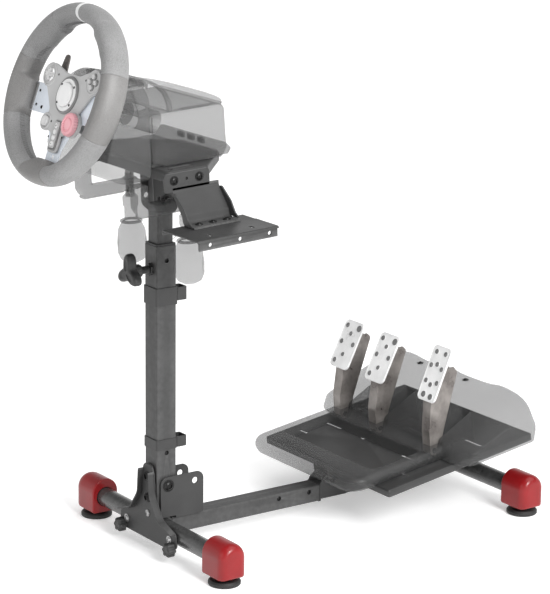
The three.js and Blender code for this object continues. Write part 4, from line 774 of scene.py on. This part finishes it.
# clamps
for nm, s in (("left", -1), ("right", 1)):
    x = s * 86
    c = rounded([(-98, 653.5, 3), (-78, 653.5, 3), (-78, 620, 10), (14, 620, 6), (18, 602, 7), (-90, 602, 14), (-98, 616, 10)], 10)
    arm = prism(c, x - 13, x + 13, "x", [], 3.2, 4)
    arm = boolean(arm, drill("z", x, 0, 7.6, 590, 630, 36), rbox(x - 8.5, -92, 600, x + 8.5, -16, 604.5, 1, 2))
    ring_ = lathe([(7.7, 619.6), (12.4, 619.6), (12.4, 621.6, .8), (7.7, 621.6)], "z", x, 0, n=40)
    nm_b = "clamp_l" if s < 0 else "clamp_r"
    piece("clamp_arm_" + nm + "_shell", joined(arm, ring_), ML, "wheel_mount", "shell3", ("clamp_arm_" + nm,))
    prof = [(0, 478.2), (11, 478.2, 2), (20, 483, 6), (24.4, 494, 8), (25, 512, 8), (22.6, 534, 10), (17, 545.5, 5), (11, 551, 2.5), (11, 556), (11, 571.5, 1), (13, 575, 1), (13, 589.5, 2), (7.2, 595.5, 1), (6.8, 597)]
    bulb = lathe(prof + [(0, 597)], "z", x, 0, n=80)
    # finger flutes
    flutes = []
    for k in range(10):
        a = k * pi / 5
        flutes.append(tube([(x + 29.2 * math.cos(a), 29.2 * math.sin(a), z) for z in (484, 496, 508, 520, 532)], 6.2, 16))
    bulb = boolean(bulb, *flutes)
    band_ = lathe([(17.6, 546.2), (19.0, 547.2, .6), (18.4, 549.6, .6), (14, 550.4), (14, 546.2)], "z", x, 0, n=64, seg=3)
    screw = lathe([(0, 596), (6.6, 596), (6.6, 664.5), (0, 664.5)], "z", x, 0, n=32)
    thr = [lathe([(6.5, z), (7.15, z + .9), (6.5, z + 1.8), (6, z + 1.8), (6, z)], "z", x, 0, n=32, seg=1) for z in [598 + 2.1 * k for k in range(31)]]
    pad = lathe([(0, 664), (12.8, 664, 1), (14, 666.5, .8), (14, 674.2, .9), (12.6, 675.2, .3), (0, 675.2)], "z", x, 0, n=48)
    piece("clamp_screw_" + nm + "_knob", [(bulb, "shell2"), (band_, "shell3"), (joined(screw, *thr), "zinc"), (pad, "rubber")], ML, nm_b, "shell2", ("clamp_screw_" + nm,), angle=38)

# ================================================================== steering wheel (wheel frame)
RR, RT, RD, RB = 132.0, 15.5, 23.4, 8.0
def sm(a, b, x):
    k = max(0.0, min(1.0, (x - a) / (b - a)))
    return k * k * (3 - 2 * k)
def fairing(phi, c, half, edge=3.5):
    d = abs((phi - c + 180) % 360 - 180)
    return 1 - sm(half - edge * .5, half + edge * .5, d)
def inner_bulge(phi):
    p = phi % 360
    b = 0.0
    for q in (p, 180 - p):
        q %= 360
        b = max(b, 9.0 * sm(117, 121.5, q) * (1 - sm(140, 157, q)))
    for c, s in ((187.5, 1), (-7.5, -1)):
        k = fairing(p, c, 14.5)
        if k > 0:
            b = max(b, k * max(0, RR - RT - 101.0 / max(.2, abs(math.cos(R(p))))))
    k = fairing(p, 270, 10.5)
    if k > 0:
        b = max(b, k * max(0, RR - RT - 106.0 / max(.2, abs(math.sin(R(p))))))
    return b
SEAMS = [88.2, 91.8, 60, 120, 160, 20, 204, 336, 256, 284]
phis = sorted(set([k * 1.5 for k in range(240)] + [round(s + d, 3) for s in SEAMS for d in (-.9, -.5, -.25, 0, .25, .5, .9)]))
phis = [p for i, p in enumerate(phis) if i == 0 or p - phis[i - 1] > .12]
NS = 44
def rim_point(phi, th, lift=0.0):
    b = inner_bulge(phi)
    dip = sum(math.exp(-(((phi - s) / .3) ** 2)) for s in SEAMS) * .75
    rad = RT - dip + lift
    c, s = math.cos(th), math.sin(th)
    seam_in = .55 * math.exp(-(((th - pi) / .07) ** 2))
    u = rad * math.copysign(abs(c) ** .93, c)
    v = (rad - RT + RD) * math.copysign(abs(s) ** .94, s)
    if c < 0:
        u -= b * abs(c) ** 1.1
        v *= 1 - (.018 if b < 8 else .012) * b * abs(c)
        u += seam_in * (0 if b > 9 else 1)
    r = RR + u
    return Vector((r * math.cos(R(phi)), v + RB, r * math.sin(R(phi))))
rim = loft([[rim_point(p, k * 2 * pi / NS) for k in range(NS)] for p in phis], closed=True)
def rim_paint(c):
    p = math.degrees(math.atan2(c.z, c.x)) % 360
    if 88.2 < p < 91.8: return "mark"
    for a, b in ((160, 204), (336, 380), (256, 284)):
        if a < p < b or a < p + 360 < b: return "grip2"
    return "grip"

def painted(name, s, M, body, fn, mats, replaces=(), angle=32):
    o = piece(name, s, M, body, mats[0], replaces, angle)
    me = o.data
    me.materials.clear()
    for m in mats: me.materials.append(MAT[m])
    v = [Vector(p) for p in s[0]]
    me.polygons.foreach_set("material_index", [mats.index(fn(sum((v[i] for i in q), Vector()) / len(q))) for q in s[1]])
    return o
painted("rim_leather", rim, MW, "steering", rim_paint, ["grip", "grip2", "mark"], ("rim_grip",), angle=50)
# cross stitching where the leather closes on the inside of the rim
st = []
p = 0.0
while p < 360:
    if inner_bulge(p) < 8.5 and not 86 < p < 94:
        for a, b in ((-.17, .17), (.17, -.17)):
            pts = [rim_point(p + 1.0 * t, pi + a + (b - a) * t, .28 + .2 * math.sin(pi * t)) for t in (0, .33, .66, 1)]
            st.append(tube(pts, .36, 5))
    p += 2.3
piece("rim_stitching", joined(*st), MW, "steering", "thread", angle=60)

# spoke plate
def arc(a0, a1, r, n=14):
    return [(r * math.cos(a0 + (a1 - a0) * k / n), r * math.sin(a0 + (a1 - a0) * k / n)) for k in range(n + 1)]
AR = 121.0
d_ = lambda z: math.asin(z / AR)
dx_ = lambda x: math.acos(x / AR)
poly = [(q[0], q[1], 0) for q in arc(d_(8), d_(-38), AR)] + [(54, -38, 10), (30, -62, 12), (19, -86, 14)] + [(q[0], q[1], 0) for q in arc(-dx_(17), -pi + dx_(17), AR, 6)] + \
       [(-19, -86, 14), (-30, -62, 12), (-54, -38, 10)] + [(q[0], q[1], 0) for q in arc(pi - d_(-38), pi - d_(8), AR)] + [(-62, 10, 14), (-46, 30, 10), (46, 30, 10), (62, 10, 14)]
sp_holes = [circ(x, z, r, 28) for x, z, r in ((-50.6, -6.5, 3.4), (50.6, -6.5, 3.4), (-72, -29, 3), (72, -29, 3), (0, -99, 4.2))]
spk = prism(rounded(poly, 6), 18, 21, "y", sp_holes, .6, 3)
piece("spoke_plate_brushed", spk, MW, "steering", "alu", ("spoke_plate",))
rim_inserts = []
for s in (-1, 1):
    rim_inserts.append(rbox(s * 100 - (6 if s < 0 else 2), 16.6, -37, s * 100 + (2 if s < 0 else 6), 22.4, 7, 1.2, 3))
piece("spoke_end_caps", joined(*rim_inserts), MW, "steering", "hubdark")
sc = [moved(buttonhead(3.0, 1.6), at((x, 17.9, z), (0, -1, 0))) for x, z in ((-50.6, -6.5), (50.6, -6.5), (-72, -29), (72, -29))]
sc += [moved(buttonhead(2.4, 1.2), at((x, 17.9, z), (0, -1, 0))) for x, z in ((-90, -4), (90, -4), (-90, -27), (90, -27))]
piece("spoke_screws", joined(*sc), MW, "steering", "bolt")

# hub
PL, PRt, PLL, DL = (-67, 25), (63, 30), (-40, -48), (38, -43)
bridge = rounded([(-80, 34, 14), (-60, 45, 8), (-20, 34, 14), (20, 34, 14), (60, 50, 8), (82, 40, 12), (72, 14, 12), (42, -28, 10), (52, -44, 8), (44, -62, 10), (16, -62, 8), (14, -93, 7), (-14, -93, 7), (-16, -62, 8), (-46, -60, 10), (-40, -28, 10), (-68, 6, 12)], 8)
bh = [circ(*PL, 10.9, 40), circ(*PLL, 8.95, 36), rrect(-7.9, -86.9, 7.9, -43.1, 3.2, 6)] + [circ(PRt[0] + a, PRt[1] + b, 4.75, 28) for a, b in ((8.7, 0), (-8.7, 0), (0, 8.7), (0, -8.7))]
hb = [(boolean(prism(bridge, 13.2, 17.7, "y", [], 1.3, 4), *[prism(h, 10, 20, "y", [], .01, 1) for h in bh]), "hub")]
hb.append((lathe([(10.9, 17.6), (19.4, 17.6), (19.5, 13.4, 1.0), (18.2, 11.9, 1.0), (16.6, 11.9, .6), (15.6, 13.2, .6), (11.4, 14.0, .4), (10.9, 14.4)], "y", *PL, n=64), "hub"))
pr_ = lathe([(0, 17.6), (20.9, 17.6), (21, 13.4, 1.0), (19.8, 11.8, 1.0), (18.0, 11.8, .6), (17.2, 12.6, .5), (0, 12.6)], "y", *PRt, n=64)
pr_ = boolean(pr_, *[drill("y", PRt[0] + a, PRt[1] + b, 4.75, 5, 25) for a, b in ((8.7, 0), (-8.7, 0), (0, 8.7), (0, -8.7))])
hb.append((pr_, "hub"))
for a, b in ((8.7, 0), (-8.7, 0), (0, 8.7), (0, -8.7)):
    hb.append((lathe([(4.8, 12.7), (4.8, 12.0, .2), (5.5, 12.0, .3), (5.8, 12.7)], "y", PRt[0] + a, PRt[1] + b, n=32, seg=2), "hubdark"))
hb.append((lathe([(9.0, 17.6), (14.4, 17.6), (14.5, 12.9, .9), (13.2, 11.6, .8), (11.2, 11.8, .5), (9.4, 13.0, .4), (9.0, 13.4)], "y", *PLL, n=56), "hub"))
hb.append((lathe([(0, 17.6), (20.4, 17.6), (20.5, 13.2, .9), (19.4, 12.0, .7), (0, 12.0)], "y", *DL, n=56), "hub"))
hb.append((lathe([(0, 17.6), (31, 17.6), (31, 13.8, .8), (27.4, 12.2), (0, 12.2)], "y", 0, 0, n=80), "hub"))
hb.append((lathe([(27.0, 14), (30.9, 14), (30.4, 11.6, .9), (28.6, 10.4, .8), (26.8, 10.4, .6), (26.4, 14)], "y", 0, 0, n=80), "hubdark"))
hb.append((lathe([(0, 13), (26.5, 13), (26.3, 9.9, .5), (25.4, 9.5, .3), (20.6, 9.5, .3), (20.0, 10.4), (0, 10.4)], "y", 0, 0, n=80), "cap"))
hb.append((prism(rrect(-10.2, -89.4, 10.2, -41, 4.4, 8), 12.0, 14.0, "y", [rrect(-8, -87, 8, -43, 3.2, 8)], .5, 3), "hubdark"))
piece("hub_shell", hb, MW, "steering", "hub", ("hub_housing",), angle=30)
sc = [moved(buttonhead(2.1, .9), at((23.3 * math.cos(a), 9.5, 23.3 * math.sin(a)), (0, -1, 0))) for a in (R(38), R(142), R(-38), R(-142))]
sc += [moved(buttonhead(1.8, .8), at((x, 13.2, z), (0, -1, 0))) for x, z in ((-42, 28), (40, 30), (-24, -46), (19.5, -66), (-19.5, -70))]
piece("hub_screws", joined(*sc), MW, "steering", "bolt")
piece("hub_cap_round", lathe([(0, 9.6), (19.3, 9.6), (19.5, 7.6, .8), (18.2, 6.1, 1.0), (13.5, 5.6, 1.5), (0, 5.5)], "y", 0, 0, n=80), MW, "steering", "cap", ("hub_cap",), angle=30)

cr = [(3.8, 10), (-3.8, 10), (-3.8, 3.8), (-10, 3.8), (-10, -3.8), (-3.8, -3.8), (-3.8, -10), (3.8, -10), (3.8, -3.8), (10, -3.8), (10, 3.8), (3.8, 3.8)]
cross = rounded([(a + PL[0], b + PL[1], .9) for a, b in cr], 4)
dp = boolean(prism(cross, 8.6, 13.5, "y", [], .7, 3), lathe([(0, 9.7), (3.0, 8.7), (3.4, 8.0), (0, 8.0)], "y", *PL, n=32))
arrows = [prism([(PL[0] + a * 7.6 + (0 if a else 1.3), PL[1] + b * 7.6 + (1.3 if a else 0)), (PL[0] + a * 7.6 - (0 if a else 1.3), PL[1] + b * 7.6 - (1.3 if a else 0)), (PL[0] + a * 9.1, PL[1] + b * 9.1)], 8.3, 8.7, "y", [], .1, 1) for a, b in ((1, 0), (-1, 0), (0, 1), (0, -1))]
piece("dpad_cross", [(joined(dp, lathe([(0, 13), (4.6, 13), (4.6, 16.4), (0, 16.4)], "y", *PL, n=24)), "btn"), (joined(*arrows), "hubdark")], MW, "dpad", "btn", ("dpad",))
for n_, a, b, body in (("button_right", 8.7, 0, "b_right"), ("button_left", -8.7, 0, "b_left"), ("button_upper", 0, 8.7, "b_upper"), ("button_lower", 0, -8.7, "b_lower")):
    c = lathe([(0, 15.6), (4.2, 15.6), (4.2, 9.6, .8), (3.4, 8.6, .9), (0, 8.35)], "y", PRt[0] + a, PRt[1] + b, n=40)
    piece(n_ + "_cap", c, MW, body, "btn", (n_,), angle=30)
piece("thumb_button_cap", lathe([(0, 15.6), (8.5, 15.6), (8.5, 9.8, 1.0), (7.2, 8.9, .9), (5.4, 9.3, .8), (0, 9.9)], "y", *PLL, n=48), MW, "thumb", "btn", ("thumb_button",), angle=30)
rk = [(prism(rrect(-7.4, -86.4, 7.4, -43.6, 3.0, 8), 10.3, 13.6, "y", [], .9, 3), "hub")]
bumps = [lathe([(0, 8.6), (3.6, 8.8, .7), (4.4, 10.6), (0, 10.6)], "y", 0, z, n=32) for z in (-50.5, -60.2, -69.9, -79.6)]
rk.append((joined(*bumps), "cap"))
marks = [rbox(-2.2, 8.35, -51.0, 2.2, 8.75, -50.0, .15, 1), rbox(-.5, 8.35, -52.7, .5, 8.75, -48.3, .15, 1), rbox(-2.2, 8.35, -80.1, 2.2, 8.75, -79.1, .15, 1)]
rk.append((joined(*marks), "hubdark"))
rk.append((lathe([(0, -7), (1.5, -7), (1.5, 7), (0, 7)], "x", 15, -65, n=16, seg=1), "hub"))
piece("rocker_strip", rk, MW, "rocker", "hub", ("rocker",))
kn = []
for k in range(192):
    a = k * pi / 96
    rr = 18.35 + .45 * math.cos(24 * a)
    kn.append((DL[0] + rr * math.cos(a), DL[1] + rr * math.sin(a)))
dl = loft([ring_of(kn, DL, t, d) for t, d in ((11.6, 0), (6.2, 0), (5.0, .5), (4.1, 1.5), (3.6, 3.0), (3.5, 4.6), (4.0, 5.8), (5.4, 6.4), (5.4, 8.6))])
capd = lathe([(0, 9), (9.3, 9), (9.4, 5.0, .9), (7.8, 3.8, .9), (0, 3.6)], "y", *DL, n=48)
piece("dial_knurled", joined(dl, capd), MW, "dial", "dial", ("dial",), angle=36)
for nm, s in (("left", -1), ("right", 1)):
    pp = rounded([(-s * a, b, r) for a, b, r in ((-37, -16, 3), (-37, 12, 5), (-50, 26, 12), (-55, 63, 6), (-67, 63, 6), (-76, 20, 14), (-74, -16, 9))], 8)
    holes_ = [circ(s * 43, -8, 1.8, 20), circ(s * 43, 6, 1.8, 20)]
    pd = prism(pp, 31, 33.5, "y", [], .7, 3)
    ridge = [rbox(s * 62 - 3.5, 30.4, z, s * 62 + 3.5, 31.3, z + 1.6, .4, 2) for z in (42, 46, 50, 54)]
    piece("paddle_" + nm + "_blade", [(pd, "arm"), (joined(*ridge), "arm"), (joined(*[moved(buttonhead(2.6, 1.3), at((s * 43, 31.0, z), (0, -1, 0))) for z in (-8, 6)]), "bolt")], MW, "paddle_l" if s < 0 else "paddle_r", "arm", ("paddle_" + nm,))
ws = [lathe([(0, 21.4), (31.5, 21.4, .6), (33, 23, .8), (33, 34, 3), (27, 41, 3), (24, 50, 1.2), (0, 50)], "y", 0, 0, n=72),
      lathe([(0, 49), (12, 49), (12, 115.3), (11.3, 116), (0, 116)], "y", 0, 0, n=48, seg=1)]
piece("wheel_shaft_flange", [(ws[0], "hub"), (ws[1], "zinc")], MW, "steering", "hubdark", ("wheel_shaft",))

# ================================================================== pedal tray and pedals (tray frame)
tp = folded([(-182, 0, 4), (182, 0, 4), (182, 320.6, 4), (-182, 320.6, 4)], 0, 13, 2.5, 3.0)
TY = lambda y: (y - 346) / math.cos(TT)
slots = [(-160, -134, 405), (-148, -101, 457), (-43, -28, 456), (77, 111, 455), (110, 158, 570), (75, 110, 650), (134, 160, 405), (101, 148, 500), (-158, -110, 570)]
tp = boolean(tp, *[prism(rrect(a, TY(y) - 3, b, TY(y) + 3, 2.9, 8), -10, 10, "z", [], .01, 1) for a, b, y in slots])
c_, s_ = math.cos(TT), math.sin(TT)
py = (352 - 346) * c_ + (60 - 88) * s_
pz = -(352 - 346) * s_ + (60 - 88) * c_
lug = rounded([(py - 12, -1, 0), (py - 12, pz - 9, 9), (py + 12, pz - 9, 9), (py + 26, -1, 0)], 10)
tparts = [tp] + [prism(lug, x, x + 3, "x", [circ(py, pz, 4.5, 28)], .5, 2) for x in (18.6, -21.6)]
tparts += [weld([(x, py - 10, -2.9), (x, py + 24, -2.9)], 1.1) for x in (17.9, -17.9)]
piece("pedal_tray_pressing", joined(*tparts), MT, "pedal_tray", "dark", ("pedal_plate",))

PX = [-136, -31, 124]
heel = [(-155, 166, 2), (-155, -57, 36), (155, -57, 36), (155, 166, 2)]
heel = heel[::-1] if area([p[:2] for p in heel]) < 0 else heel
hr = []
for d, z in ((12, .5), (7, .5), (5.0, 1.6), (3.0, 4.6), (1.1, 8.2), (.2, 11.5), (0, 14), (.4, 17), (1.6, 20), (3.8, 22.6), (7, 24.2), (11, 24.9), (16, 25.1), (30, 24.6)):
    hr.append([(x, y, z if y < 100 else z) for x, y in inset_ring(heel, d, 12)])
heel_s = loft(hr)
win = [(-135, 6, 12), (135, 6, 12), (135, 108, 12), (-135, 108, 12)]
wc = loft([[(x, y, z) for x, y in inset_ring(win, d, 8)] for d, z in ((0, -3), (0, 20.5), (-.5, 22.3), (-1.6, 23.8), (-3.2, 24.7), (-5, 25.15), (-8, 25.4), (-8, 40))])
heel_s = boolean(heel_s, wc)

def body_ring(x):
    s = abs(x)
    e = max(0.0, (s - 150) / 64)
    hump = sum(5.0 * math.exp(-((x - p) / 30) ** 2) for p in PX)
    k = 1 - .40 * e ** 2.0
    pts = rounded([(138, .5, 3), (322, .5, 4), (328, 30, 14), (316, 75, 18), (268, 72, 26), (150, 34, 12)], 7)
    out = []
    for y, z in pts:
        w = sm(40, 70, z)
        y2 = y + (14 * e ** 3 if y < 230 else -24 * e ** 3)
        out.append([y2, (z + hump * w) * (k if z > 1 else 1)])
    return out
xs = [-214, -213.2, -211.4, -208.5, -204, -198, -190, -180, -170] + [x for x in range(-160, 161, 8)] + [170, 180, 190, 198, 204, 208.5, 211.4, 213.2, 214]
rings = []
for x in xs:
    r_ = body_ring(max(-208, min(208, x)))
    q = {214: 10, 213.2: 6.4, 211.4: 3.4, 208.5: 1.3, 204: .3}.get(abs(x), 0)
    if q:
        cy_, cz_ = 235, 22
        r_ = [[y + (cy_ - y) / max(1, math.hypot(y - cy_, z - cz_)) * q, z + ((cz_ - z) / max(1, math.hypot(y - cy_, z - cz_)) * q if z > 1 else 0)] for y, z in r_]
    rings.append([(x, y, z) for y, z in r_])
body_s = loft(rings)
body_s = boolean(body_s, *[rbox(x - 14, 112, -5, x + 14, 226, 95, 2.5, 3) for x in PX])
lip_ = []
for x in PX:
    lip_.append(moved(prism(rrect(x - 17, -44, x + 17, 44, 5, 6), 0, 2.2, "z", [rrect(x - 14.2, -41, x + 14.2, 41, 3, 6)], .8, 3), Matrix.Translation((0, 188, 46.2)) @ Matrix.Rotation(math.atan2(38, 118), 4, "X")))
piece("pedal_base_shell", [(heel_s, "shell3"), (body_s, "shell3")], MT, "pedal_tray", "shell3", ("pedal_base",), angle=38)
fe = [moved(buttonhead(4.5, 2.0, 6.0), at((x, 290, 75.6 if abs(x) < 150 else 70), (0, .05, 1))) for x in (-84, 46)]
piece("pedal_base_screws", joined(*fe), MT, "pedal_tray", "bolt")

PADS = [[27, 45, 35, 168, 137.5], [27, 45, 35, 168, 137.5], [24, 49.5, 31.8, 163.8, 147.4]]
STUDS = [[(-17, 34, 3.4), (17, 34, 4.6), (0, 21, 3.0), (-17, 3, 3.4), (17, 3, 3.4), (0, -19, 3.0), (-16, -33, 3.4)]] * 2 + \
        [[(-12, 38, 3.2), (12, 38, 3.2), (-14.5, 13, 3.2), (0, 17, 3.2), (14.5, 11, 3.2), (-14.5, -15, 3.2), (0, -20, 3.2), (14.5, -14, 3.2), (-9, -39, 4.0), (10, -40, 4.0)]]
for i, (nm, x) in enumerate(zip(("clutch", "brake", "throttle"), PX)):
    outl = [(131, 5, 8), (152, 5, 8), (163, 42, 30), (215, 141, 6), (208, 149.5, 3), (180.8, 149.8, 2), (148, 103, 30), (133, 50, 30)] if i < 2 else \
           [(131, 5, 8), (152, 5, 8), (163, 42, 30), (206, 141, 6), (199, 152, 3), (171, 152.3, 2), (143.6, 108.2, 30), (133, 50, 30)]
    ol = rounded(outl, 10)
    ap = [prism(ol, x + a, x + b, "x", [], .7, 3) for a, b in ((-11, -8), (8, 11))]
    front = rounded([(131.4, 12, 0), (133.4, 50, 30), outl[6][:2] + (30,), (outl[5][0] + .4, outl[5][1] - .6, 0)], 12)
    web = prism(strip(front, -3.2), x - 8.2, x + 8.2, "x", [], .5, 2)
    pin = joined(lathe([(0, x - 12.4), (4.6, x - 12.4, .8), (4.6, x + 12.4, .8), (0, x + 12.4)], "x", 140, 14, n=32),)
    arm_o = [(joined(*ap), "arm"), (web, "arm"), (pin, "bolt")]
    piece(nm + "_arm_channel", arm_o, MT, nm, "arm", (nm + "_arm",), angle=36)
    w, h, lean, cy, cz = PADS[i]
    q = R(lean)
    MP = MT @ Matrix.Translation((x, cy + 3 * math.cos(q), cz - 3 * math.sin(q))) @ Matrix.Rotation(pi / 2 - q, 4, "X")
    out = rrect(-w, -h, w, h, 9, 12)
    sheet = prism(out, 0, 3.0, "z", [], .8, 4)
    # raised frame round the pad's edge
    rim_ = prism(rrect(-w + .6, -h + .6, w - .6, h - .6, 8.5, 12), 2.6, 3.55, "z", [rrect(-w + 2.4, -h + 2.4, w - 2.4, h - 2.4, 6.8, 12)], .35, 3)
    studs, rings_ = [], []
    for u, v, r in STUDS[i]:
        r *= 1.32
        studs.append(lathe([(0, 2.4), (r, 2.4), (r, 4.3, .7), (r * .55, 5.0, .6), (0, 5.05)], "z", u, v, n=32))
        rings_.append(lathe([(r + .1, 2.9), (r + .9, 2.9), (r + .8, 3.5, .2), (r + .1, 3.5)], "z", u, v, n=32, seg=2))
    nuts = [moved(nyloc(3.6, 3.2), Matrix.Translation((u, v, 0)) @ Matrix.Rotation(pi, 4, "X")) for u, v in ((-0.0, h - 24), (0.0, h - 40))]
    piece(nm + "_pad_plate", [(joined(sheet, rim_), "pad"), (joined(*studs), "stud"), (joined(*rings_), "pad")], MP, nm, "pad", (nm + "_pad",), angle=34)

# ================================================================== CAD nodes kept, with finer edges and a finish
# motor and bearing take the pale hub grey in place of their metal: painted light, so they don't read dark in the shade
# inside the hood
for n_, m in (("motor", "hub"), ("shaft_bearing", "hub"), ("drive_gear", "zinc"), ("pinion", "zinc")):
    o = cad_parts[n_]
    if not len(o.data.materials): o.data.materials.append(MAT[m])
    for k in range(len(o.data.materials)): o.data.materials[k] = MAT[m]
    w = o.modifiers.new("weld", "WELD"); w.merge_threshold = 1e-6
    b = o.modifiers.new("bevel", "BEVEL"); b.width = .0003; b.segments = 2; b.limit_method = "ANGLE"; b.angle_limit = R(40)

# ================================================================== stage, light, camera
def plane_mat():
    m = bpy.data.materials.new("floor_paper"); m.use_nodes = True
    t = m.node_tree; b = t.nodes["Principled BSDF"]
    n = t.nodes.new("ShaderNodeTexNoise"); n.inputs["Scale"].default_value = 3
    r = t.nodes.new("ShaderNodeValToRGB"); r.color_ramp.elements[0].color = (.86, .86, .86, 1); r.color_ramp.elements[1].color = (.88, .88, .88, 1)
    co = t.nodes.new("ShaderNodeTexCoord")
    t.links.new(co.outputs["Object"], n.inputs["Vector"]); t.links.new(n.outputs["Fac"], r.inputs["Fac"]); t.links.new(r.outputs["Color"], b.inputs["Base Color"])
    b.inputs["Roughness"].default_value = .9
    b.inputs["Specular IOR Level"].default_value = .1
    b.inputs["Emission Color"].default_value = (1, 1, 1, 1)
    b.inputs["Emission Strength"].default_value = .34
    return m
bpy.ops.mesh.primitive_plane_add(size=60, location=(0, 0, -.0002))
floor = bpy.context.object; floor.name = "floor"
floor.data.materials.append(plane_mat())

world = bpy.data.worlds.new("world"); scene.world = world; world.use_nodes = True
wt = world.node_tree
wt.nodes["Background"].inputs["Color"].default_value = (1, 1, 1, 1)
wc_ = wt.nodes.new("ShaderNodeTexCoord")
ws_ = wt.nodes.new("ShaderNodeSeparateXYZ")
wm_ = wt.nodes.new("ShaderNodeMapRange")           # white wall round the set, dimmer ceiling
for k_, v_ in (("From Min", .28), ("From Max", .6), ("To Min", 1.0), ("To Max", .26)): wm_.inputs[k_].default_value = v_
wt.links.new(wc_.outputs["Generated"], ws_.inputs[0])
wt.links.new(ws_.outputs["Z"], wm_.inputs["Value"])
wt.links.new(wm_.outputs["Result"], wt.nodes["Background"].inputs["Strength"])

def lamp(name, loc, target, size, power, colour=(1, 1, 1)):
    l = bpy.data.lights.new(name, "AREA"); l.shape = "DISK"; l.size = size; l.energy = power; l.color = colour
    o = bpy.data.objects.new(name, l); scene.collection.objects.link(o)
    o.location = loc
    o.rotation_mode = "QUATERNION"
    o.rotation_quaternion = (Vector(target) - Vector(loc)).to_track_quat("-Z", "Y")
    return o
lamp("key", (3.4, -.2, 2.2), (0, 0, .4), 1.6, 160)
lamp("fill", (-.4, -3.8, 1.9), (0, 0, .5), 2.2, 12)
sun = bpy.data.lights.new("sky", "SUN")
sun.energy, sun.angle = 1.4, 1.1
so_ = bpy.data.objects.new("sky", sun)
scene.collection.objects.link(so_)
so_.rotation_euler = (R(-12), R(20), 0)

cam = bpy.data.objects.new("camera", bpy.data.cameras.new("camera"))
scene.collection.objects.link(cam)
scene.camera = cam
az, el, roll = R(54.76), R(14.48), R(.66)
back = Vector((math.sin(az) * math.cos(el), -math.cos(az) * math.cos(el), math.sin(el)))
right = Vector((math.cos(az), math.sin(az), 0))
up = back.cross(right)
rv = right * math.cos(roll) + up * math.sin(roll)
uv = -right * math.sin(roll) + up * math.cos(roll)
Mc = Matrix((rv, uv, back)).transposed().to_4x4()
Mc.translation = MS @ Vector((3332.26, -2119.26, 1456.82))
cam.matrix_world = Mc
cam.data.sensor_width = 36
cam.data.lens = 2485.67 * 36 / 594
cam.data.clip_start, cam.data.clip_end = .1, 100
scene.view_settings.view_transform = "Standard"
scene.view_settings.look = "None"
